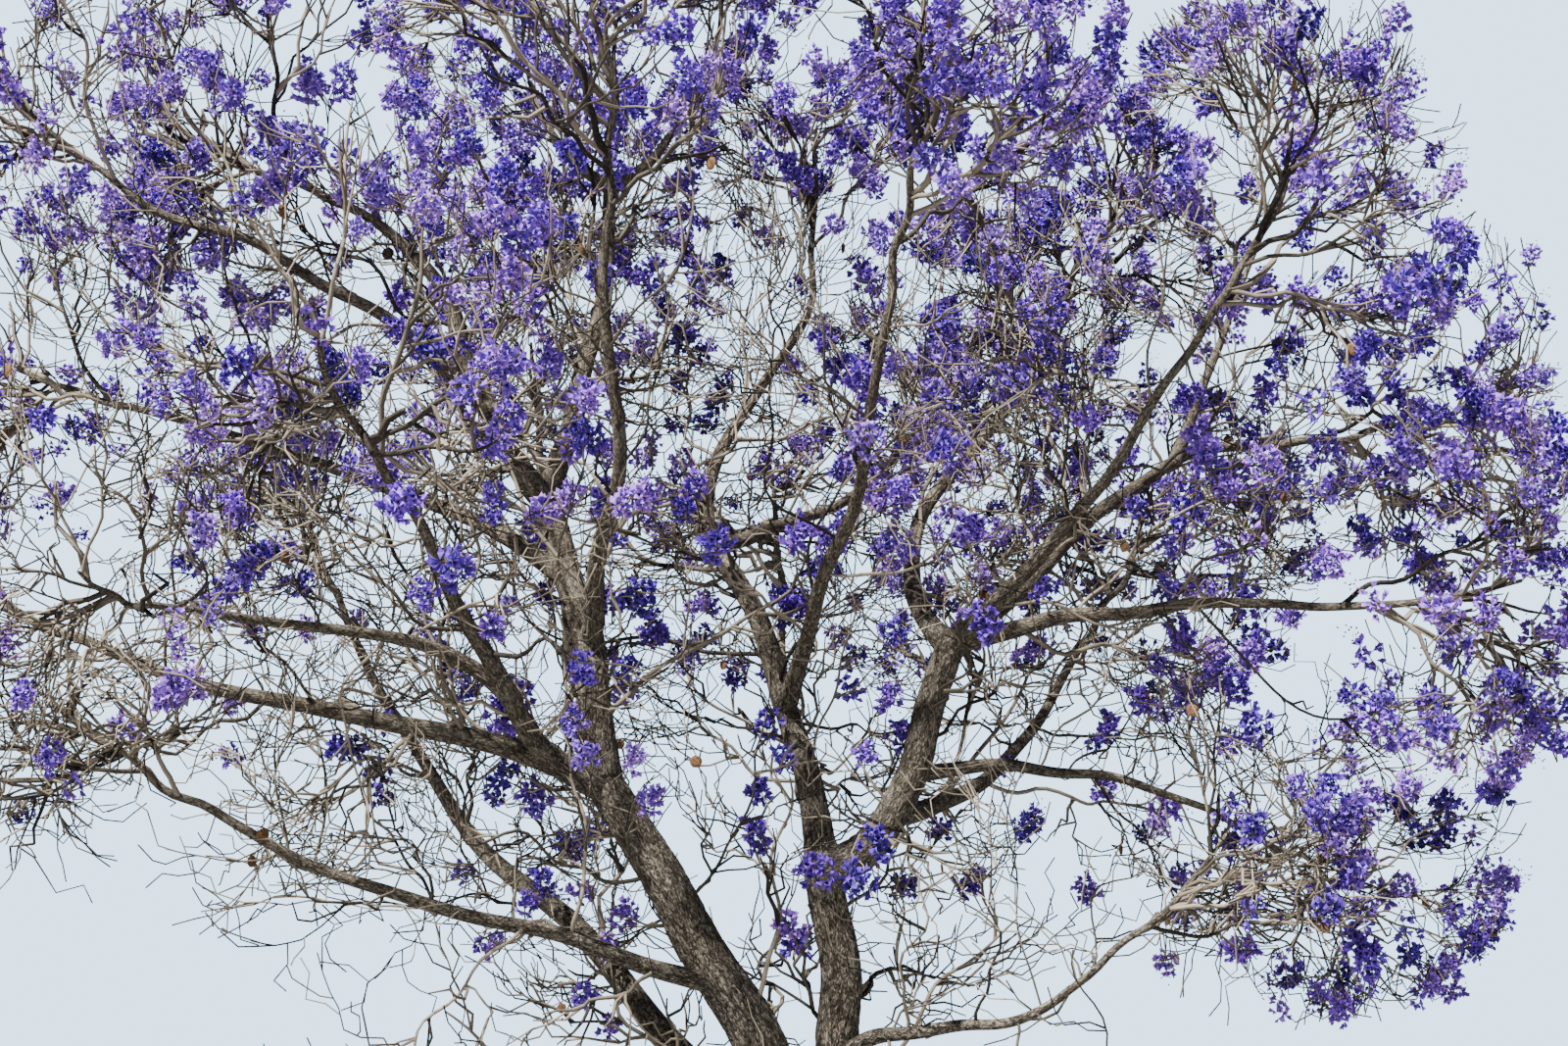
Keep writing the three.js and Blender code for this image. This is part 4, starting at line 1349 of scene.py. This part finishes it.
def hang_flowers(flowers, tip, out, reach, count, draw):
    """Flowers close together along a side stalk, from its tip inwards."""
    for m in range(count):
        fan = level_way(draw() * math.tau)
        way = unit(out * FLOWER_OUT + fan * FLOWER_FAN + UP * between(FLOWER_TILTS, draw()))
        at = tip - out * reach * HUNG_SHARE * m / count + fan * HUNG_OFF
        add_bell(flowers, at, way, FLOWER_LENGTH * between(FLOWER_SIZES, draw()), draw() * 2, draw)


def make_panicle(number, counts):
    """The flowers, stalks and buds of one panicle that grows along +Z from the origin."""
    flower_count, flower_arms, bud_arms, bud_count, stretch = counts
    draw = draws_from(PANICLE_SEED + number * PANICLE_SEED_STEP)
    flowers, stalks, buds = Shape(), Shape(), Shape()
    bend = np.array([draw() - 0.5, draw() - 0.5, 0]) * PANICLE_BEND
    end = unit(UP + bend) * PANICLE_LENGTH * stretch
    add_stalk(stalks, np.zeros(3), end, STALK_RADIUS)
    arms, hung = flower_arms + bud_arms, 0
    for k in range(arms):
        share = between(SIDE_STALK_PLACES, k / arms)
        root = end * share
        out = unit(level_way(k * GOLDEN_TURN + draw()) + UP * between(SIDE_STALK_LIFT, share))
        reach = between(SIDE_STALK_REACH, share) * between(SIDE_STALK_SIZES, draw())
        tip = root + out * reach
        add_stalk(stalks, root, tip, SIDE_STALK_RADIUS)
        if k < flower_arms:
            count = flower_count * (k + 1) // flower_arms - hung
            hung += count
            hang_flowers(flowers, tip, out, reach, count, draw)
    for k in range(bud_count):
        out = unit(level_way(k * GOLDEN_TURN + draw()) + UP * BUD_LIFT)
        root = end * between(BUD_PLACES, k / bud_count)
        add_bud(buds, root + out * between(BUD_REACH, draw()), out)
    parts = {"flowers": flowers, "stalks": stalks, "buds": buds}
    return [shape.make(f"panicle_{number}_{title}") for title, shape in parts.items()]


panicle_models = zip(*[make_panicle(number, counts) for number, counts in enumerate(PANICLE_KINDS)])
panicle_sets = {}
for title, members in zip(("flowers", "stalks", "buds"), panicle_models):
    panicle_sets[title] = bpy.data.collections.new(f"panicle_{title}")
    for member in members:
        panicle_sets[title].objects.link(member)
    print(title, [len(member.data.polygons) for member in members])

# %% [markdown]
# ## Petals, stalks and buds
# Jacaranda lobes are violet-blue and a little paler at the rim, and the tube is deeper towards its
# base. A crown is never one blue: sunlit sprays look light, and shaded ones deep, and the tints
# paint that sunlight and shade into the petals' colour, on top of a random spread. One material that
# picks its colour from each panicle's tone could do it, but four plain tints, dealt out spray by
# spray, also stay apart when the tree leaves Blender. Each tint still changes a little from panicle
# to panicle.

# %% Blossom materials
# the colours at a flower's base and at its rim, from the tint of painted sunlight to that of painted shade
BLOSSOM_TINTS = {
    "blossom_light": ((98, 40, 204), (220, 176, 255)),
    "blossom_clear": ((80, 26, 184), (206, 150, 255)),
    "blossom_violet": ((58, 16, 148), (172, 108, 255)),
    "blossom_deep": ((34, 8, 94), (124, 64, 218)),
}
DARKEST_PETAL = (172, 152, 224)
PETAL_SHEEN = 0.25
PETAL_RAMP = (0.1, 0.8)
FLECK_SCALE = 18
SHADE_RAMP = (0.2, 0.8)
VEIN_SCALE = 240
MOTTLE_RAMP = (0.35, 0.65)
FINE_RELIEF = 0.001


def make_petals(name, base, rim):
    material, tree, surface = new_material(name, roughness=0.55, specular=0.25)
    surface.inputs["Sheen Weight"].default_value = PETAL_SHEEN
    place = object_place(tree)
    to_rim = ramp(tree, carried(tree, "depth"), *PETAL_RAMP)
    colour = mix_colour(tree, to_rim, srgb(*base), srgb(*rim))
    shade = maths(tree, "ADD", carried(tree, "tone"), noise_on(tree, place, FLECK_SCALE))
    light = ramp(tree, maths(tree, "MULTIPLY", shade, 0.5), *SHADE_RAMP)
    dark = mix_colour(tree, light, srgb(*DARKEST_PETAL), srgb(255, 255, 255))
    tree.links.new(mix_colour(tree, 1.0, colour, dark, "MULTIPLY"), surface.inputs["Base Color"])
    bump(tree, surface, noise_on(tree, place, VEIN_SCALE), FINE_RELIEF)
    return material


def make_mottled(name, first, second, scale, roughness):
    """A skin that goes from one colour to another in soft patches, and is raised with them."""
    material, tree, surface = new_material(name, roughness, specular=0.3)
    mottle = noise_on(tree, object_place(tree), scale)
    colour = mix_colour(tree, ramp(tree, mottle, *MOTTLE_RAMP), srgb(*first), srgb(*second))
    tree.links.new(colour, surface.inputs["Base Color"])
    bump(tree, surface, mottle, FINE_RELIEF)
    return material


petals = {name: make_petals(name, *pair) for name, pair in BLOSSOM_TINTS.items()}
stalk_skin = make_mottled("panicle_stalk_skin", (96, 82, 60), (140, 122, 88), scale=90, roughness=0.8)
bud_skin = make_mottled("bud_skin", (66, 44, 60), (92, 66, 96), scale=120, roughness=0.7)
print("petal tints:", list(petals))

# %% [markdown]
# ## Where the panicles go
# Each spray that blooms gets panicles at the tips of its twig and sprigs: more where the crown is in
# full blossom, fewer low down on the left, and as its space's fullness says. Points scattered evenly
# through the crown would make a haze, while real blossom comes in clusters with bare wood between.
# A panicle leans up from its tip. Where it would leave the crown or meet a limb, it tries to be
# smaller and to lean otherwise, and in the end it is left out. Sprays towards the sun take the
# lighter tints and the others the deeper ones, which paints sunlight and shade into the blossom's
# colour, and the edge of the crown is half in bud.

# %% How many panicles, and of which tint
PANICLE_COUNT = (0.5, 4.2)
BLOOM_RANGE = (0.55, 1.2)
INNER_SHARE = 0.66
# painted sunlight and shade: sprays towards SUN_SIDE lean to the lighter tints, by TINT_TO_SUN
SUN_SIDE = unit(np.array([-0.3, -0.5, 0.8]))
TINT_MIDDLE = 2.0
TINT_TO_SUN = 0.9
TINT_SPREAD = 3.4


def panicles_wanted(space, twig, draw):
    share = INNER_SHARE if space is crown else share_of(BLOOM_RANGE, bloom_at(twig.points[-1]))
    return int(between(PANICLE_COUNT, share) * space.fullness + draw())


# painted light and shade: the tint is lighter on the sun's side of the crown and deeper away from it, with a
# random spread on top
def tint_at(level, draw):
    tint = TINT_MIDDLE - TINT_TO_SUN * (level @ SUN_SIDE) + TINT_SPREAD * (draw() - 0.5)
    return min(len(BLOSSOM_TINTS) - 1, int(max(0, tint)))


# %% Deal out the panicles
TIP_ROUNDS = 3
PANICLE_STRAY = 0.7
PANICLE_SIZES = (0.85, 1.3)
# each try: how far it shrinks, and how far it leans up
PANICLE_TRIES = ((1.0, 0.35), (0.82, 1.3), (0.7, 0.1))
WATCHED_SHARES = np.array([0.35, 0.7, 1.05])[:, None]
PANICLE_ROOM = 45.0
EDGE_FROM = 0.72
EDGE_GAIN = 2.2
# how many times longer a panicle is than it reaches to the side, and how far past the box it may go
PANICLE_SLIMNESS = 3
BOX_MARGIN = 60

box_inset = PANICLE_LENGTH / MM / PANICLE_SLIMNESS - BOX_MARGIN
box_low, box_high = (np.array(corner) / MM for corner in cad_box)
panicles = []
for space, twig, tips, blooms in sprays:
    if not blooms:
        continue
    draw = draws_from(twig.seed + SEED_SHIFTS["blossom"])
    wanted = panicles_wanted(space, twig, draw)
    level = (twig.points[-1] - CROWN_MIDDLE) / CROWN_RADII
    tint = tint_at(level, draw)
    edge = EDGE_GAIN * (math.sqrt(level @ level) - EDGE_FROM)
    for tip in (tips * TIP_ROUNDS)[:wanted]:
        start = tip.line[-1]
        heading = unit(start - tip.line[-2]) + stray(draw) * PANICLE_STRAY
        spin, size = draw() * math.tau, between(PANICLE_SIZES, draw())
        first, last = (FULL_KINDS, len(PANICLE_KINDS)) if draw() < edge else (0, FULL_KINDS)
        kind = first + int(draw() * (last - first))
        for shrink, lean in PANICLE_TRIES:
            way = unit(heading + UP * lean)
            reach = PANICLE_LENGTH / MM * size * shrink * PANICLE_KINDS[kind][4]
            watched = start + way * (reach * WATCHED_SHARES)
            inside = (watched > box_low + box_inset).all() and (watched < box_high - box_inset).all()
            if inside and space.holds(watched, NO_LIMB, PANICLE_ROOM):
                panicles.append((start, way, spin, size * shrink, kind, draw(), tint))
                break
print("panicles:", len(panicles), "by tint:", np.bincount([row[-1] for row in panicles]))

# %% [markdown]
# ## Planting
# Instances are the light way to show one mesh thousands of times, but the export drops them. So each
# panicle is a point that carries its kind, way, spin and size, one tree of nodes sets a model on
# every point, and the tree ends by making all of it real mesh. The same tree hangs the seed pods.

# %% The planting tree
def make_plant_tree():
    tree, given = geometry_tree("plant_panicles", {
        "Panicles": ("Collection", None),
        "Size": ("Float", 1.0),
        "Material": ("Material", None),
    })
    points = add_node(tree, "GeometryNodeMeshToPoints", {"Mesh": given["Geometry"]}).outputs[0]
    models = add_node(tree, "GeometryNodeCollectionInfo", {
        "Collection": given["Panicles"], "Separate Children": True, "Reset Children": True,
    }).outputs[0]
    upright = add_node(tree, "FunctionNodeAlignRotationToVector", {
        "Vector": read_attribute(tree, "way", "FLOAT_VECTOR"),
    }, axis="Z").outputs[0]
    spin = add_node(tree, "FunctionNodeAxisAngleToRotation", {
        "Axis": (0, 0, 1), "Angle": read_attribute(tree, "spin"),
    }).outputs[0]
    turn = add_node(tree, "FunctionNodeRotateRotation", {
        "Rotation": upright, "Rotate By": spin,
    }, rotation_space="LOCAL").outputs[0]
    planted = add_node(tree, "GeometryNodeInstanceOnPoints", {
        "Points": points,
        "Instance": models,
        "Pick Instance": True,
        "Instance Index": read_attribute(tree, "kind", "INT"),
        "Rotation": turn,
        "Scale": maths(tree, "MULTIPLY", read_attribute(tree, "size"), given["Size"]),
    }).outputs[0]
    finish_tree(tree, planted, given["Material"])
    return tree


plant_panicles = make_plant_tree()
print("planting tree:", len(plant_panicles.nodes), "nodes")

# %% Plant the panicles
# what a row holds after its place, in this order
ROW_FIELDS = {"way": "FLOAT_VECTOR", "spin": "FLOAT", "size": "FLOAT", "kind": "INT", "tone": "FLOAT"}


def plant(name, rows, models, material):
    """Sets a model at each row's place, way, spin and size."""
    columns = list(zip(*rows))
    mesh = bpy.data.meshes.new(name)
    mesh.from_pydata(np.array(columns[0]) * MM, [], [])
    for (field, kind), values in zip(ROW_FIELDS.items(), columns[1:]):
        set_attribute(mesh, field, kind, np.array(values))
    holder = new_object(name, mesh)
    add_modifier(holder, plant_panicles, {"Panicles": models, "Material": material})
    return settle(holder, name)


blossom = {}
for number, name in enumerate(BLOSSOM_TINTS):
    rows = [row for row in panicles if row[-1] == number]
    blossom[name] = plant(name, rows, panicle_sets["flowers"], petals[name])
blossom["panicle_stalks"] = plant("panicle_stalks", panicles, panicle_sets["stalks"], stalk_skin)
blossom["flower_buds"] = plant("flower_buds", panicles, panicle_sets["buds"], bud_skin)
print({name: triangles(piece) for name, piece in blossom.items()})

# %% [markdown]
# ## Seed pods
# Last year's pods still hang from a few twigs: flat round woody cases, six to eight centimetres
# across, with a wavy rim. A squashed sphere would lose that rim. Each pod is a lens of three rings
# of points between two middles, hung by its edge.

# %% One pod
POD_RADIUS = 0.036
POD_THICKNESS = 0.016
POD_SIDES = 12
POD_RINGS = ((-0.42, 0.6), (0.0, 1.0), (0.42, 0.6))
RIM_WAVE = 0.05
RIM_WAVES = 5
RIM_BEND = 0.12
RIM_BENDS = 3


def make_pod():
    """A lens that hangs from the origin. Its rim, the middle ring, waves in and out and to the sides."""
    points = [(0, -POD_THICKNESS / 2, -POD_RADIUS)]
    for depth, width in POD_RINGS:
        for k in range(POD_SIDES):
            angle = k * math.tau / POD_SIDES
            wave = 1 + RIM_WAVE * math.sin(angle * RIM_WAVES) * (depth == 0)
            bend = RIM_BEND * math.sin(angle * RIM_BENDS) * (depth == 0)
            x, z = math.cos(angle) * width * wave, math.sin(angle) * width * wave
            points.append((x * POD_RADIUS, (depth + bend) * POD_THICKNESS, (z - 1) * POD_RADIUS))
    points.append((0, POD_THICKNESS / 2, -POD_RADIUS))
    faces, last_ring = [], 1 + 2 * POD_SIDES
    for k in range(POD_SIDES):
        after = (k + 1) % POD_SIDES
        faces.append((0, 1 + k, 1 + after))
        for low in (1, 1 + POD_SIDES):
            high = low + POD_SIDES
            faces.append((low + k, high + k, high + after, low + after))
        faces.append((last_ring + k, last_ring + POD_SIDES, last_ring + after))
    shape = Shape()
    shape.add(points, faces, np.zeros(len(points)))
    return shape.make("pod_0_case")


pod_set = bpy.data.collections.new("pod_cases")
pod_set.objects.link(make_pod())

# %% Hang the pods
POD_EVERY = 37
POD_PLACES = (0.5, 0.9)
POD_SIZES = (0.85, 1.15)
POD_UPRIGHT = 3.0
POD_SINK = 4

pod_skin = make_mottled("pod_skin", (84, 58, 38), (128, 94, 62), scale=70, roughness=0.7)
pod_rows = []
for twig in (twigs + branches[:: BRANCH["count"]])[::POD_EVERY]:
    draw = draws_from(twig.seed + SEED_SHIFTS["pod"])
    at = twig.fine_point(between(POD_PLACES, draw())) - UP * POD_SINK
    way = unit(np.array([draw() - 0.5, draw() - 0.5, POD_UPRIGHT]))
    pod_rows.append((at, way, draw() * math.tau, between(POD_SIZES, draw()), 0, draw()))
blossom["seed_pods"] = plant("seed_pods", pod_rows, pod_set, pod_skin)
print("seed pods:", len(pod_rows), triangles(blossom["seed_pods"]), "triangles")

# %% [markdown]
# ## Handing over
# Every piece rides on the tree's one body, and the CAD nodes it stands for are hidden. The models
# that were planted have done their work and go, and the studio floor gets a faint mottle. The last
# numbers are the triangle count and the CAD box.

# %% Replace the CAD nodes
mass_nodes = [f"{row[0]}_mass" for row in BOUGHS]
stood_for = {
    "trunk_and_leaders": ["trunk", *[row[0] for row in LEADERS]],
    "boughs": [f"{row[0]}_bough" for row in BOUGHS],
}
finishes = {**dict.fromkeys(wood, "young_bark"), "trunk_and_leaders": "bark"}
pieces = {**wood, **blossom}
for name, piece in pieces.items():
    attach(piece, "root")
    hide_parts(*stood_for.get(name, mass_nodes))
    finishes.get(name, "blossom")

for collection in [*panicle_sets.values(), pod_set]:
    for model in list(collection.objects):
        bpy.data.objects.remove(model)
    bpy.data.collections.remove(collection)
floor_paint = make_mottled("studio_floor_paint", (132, 132, 130), (138, 138, 136), scale=0.8, roughness=0.9)
floor_mesh.materials.append(floor_paint)
print("triangles in all:", sum(triangles(piece) for piece in pieces.values()))

# %% Last numbers
print("CAD box:", [[round(x, 3) for x in corner] for corner in cad_box])
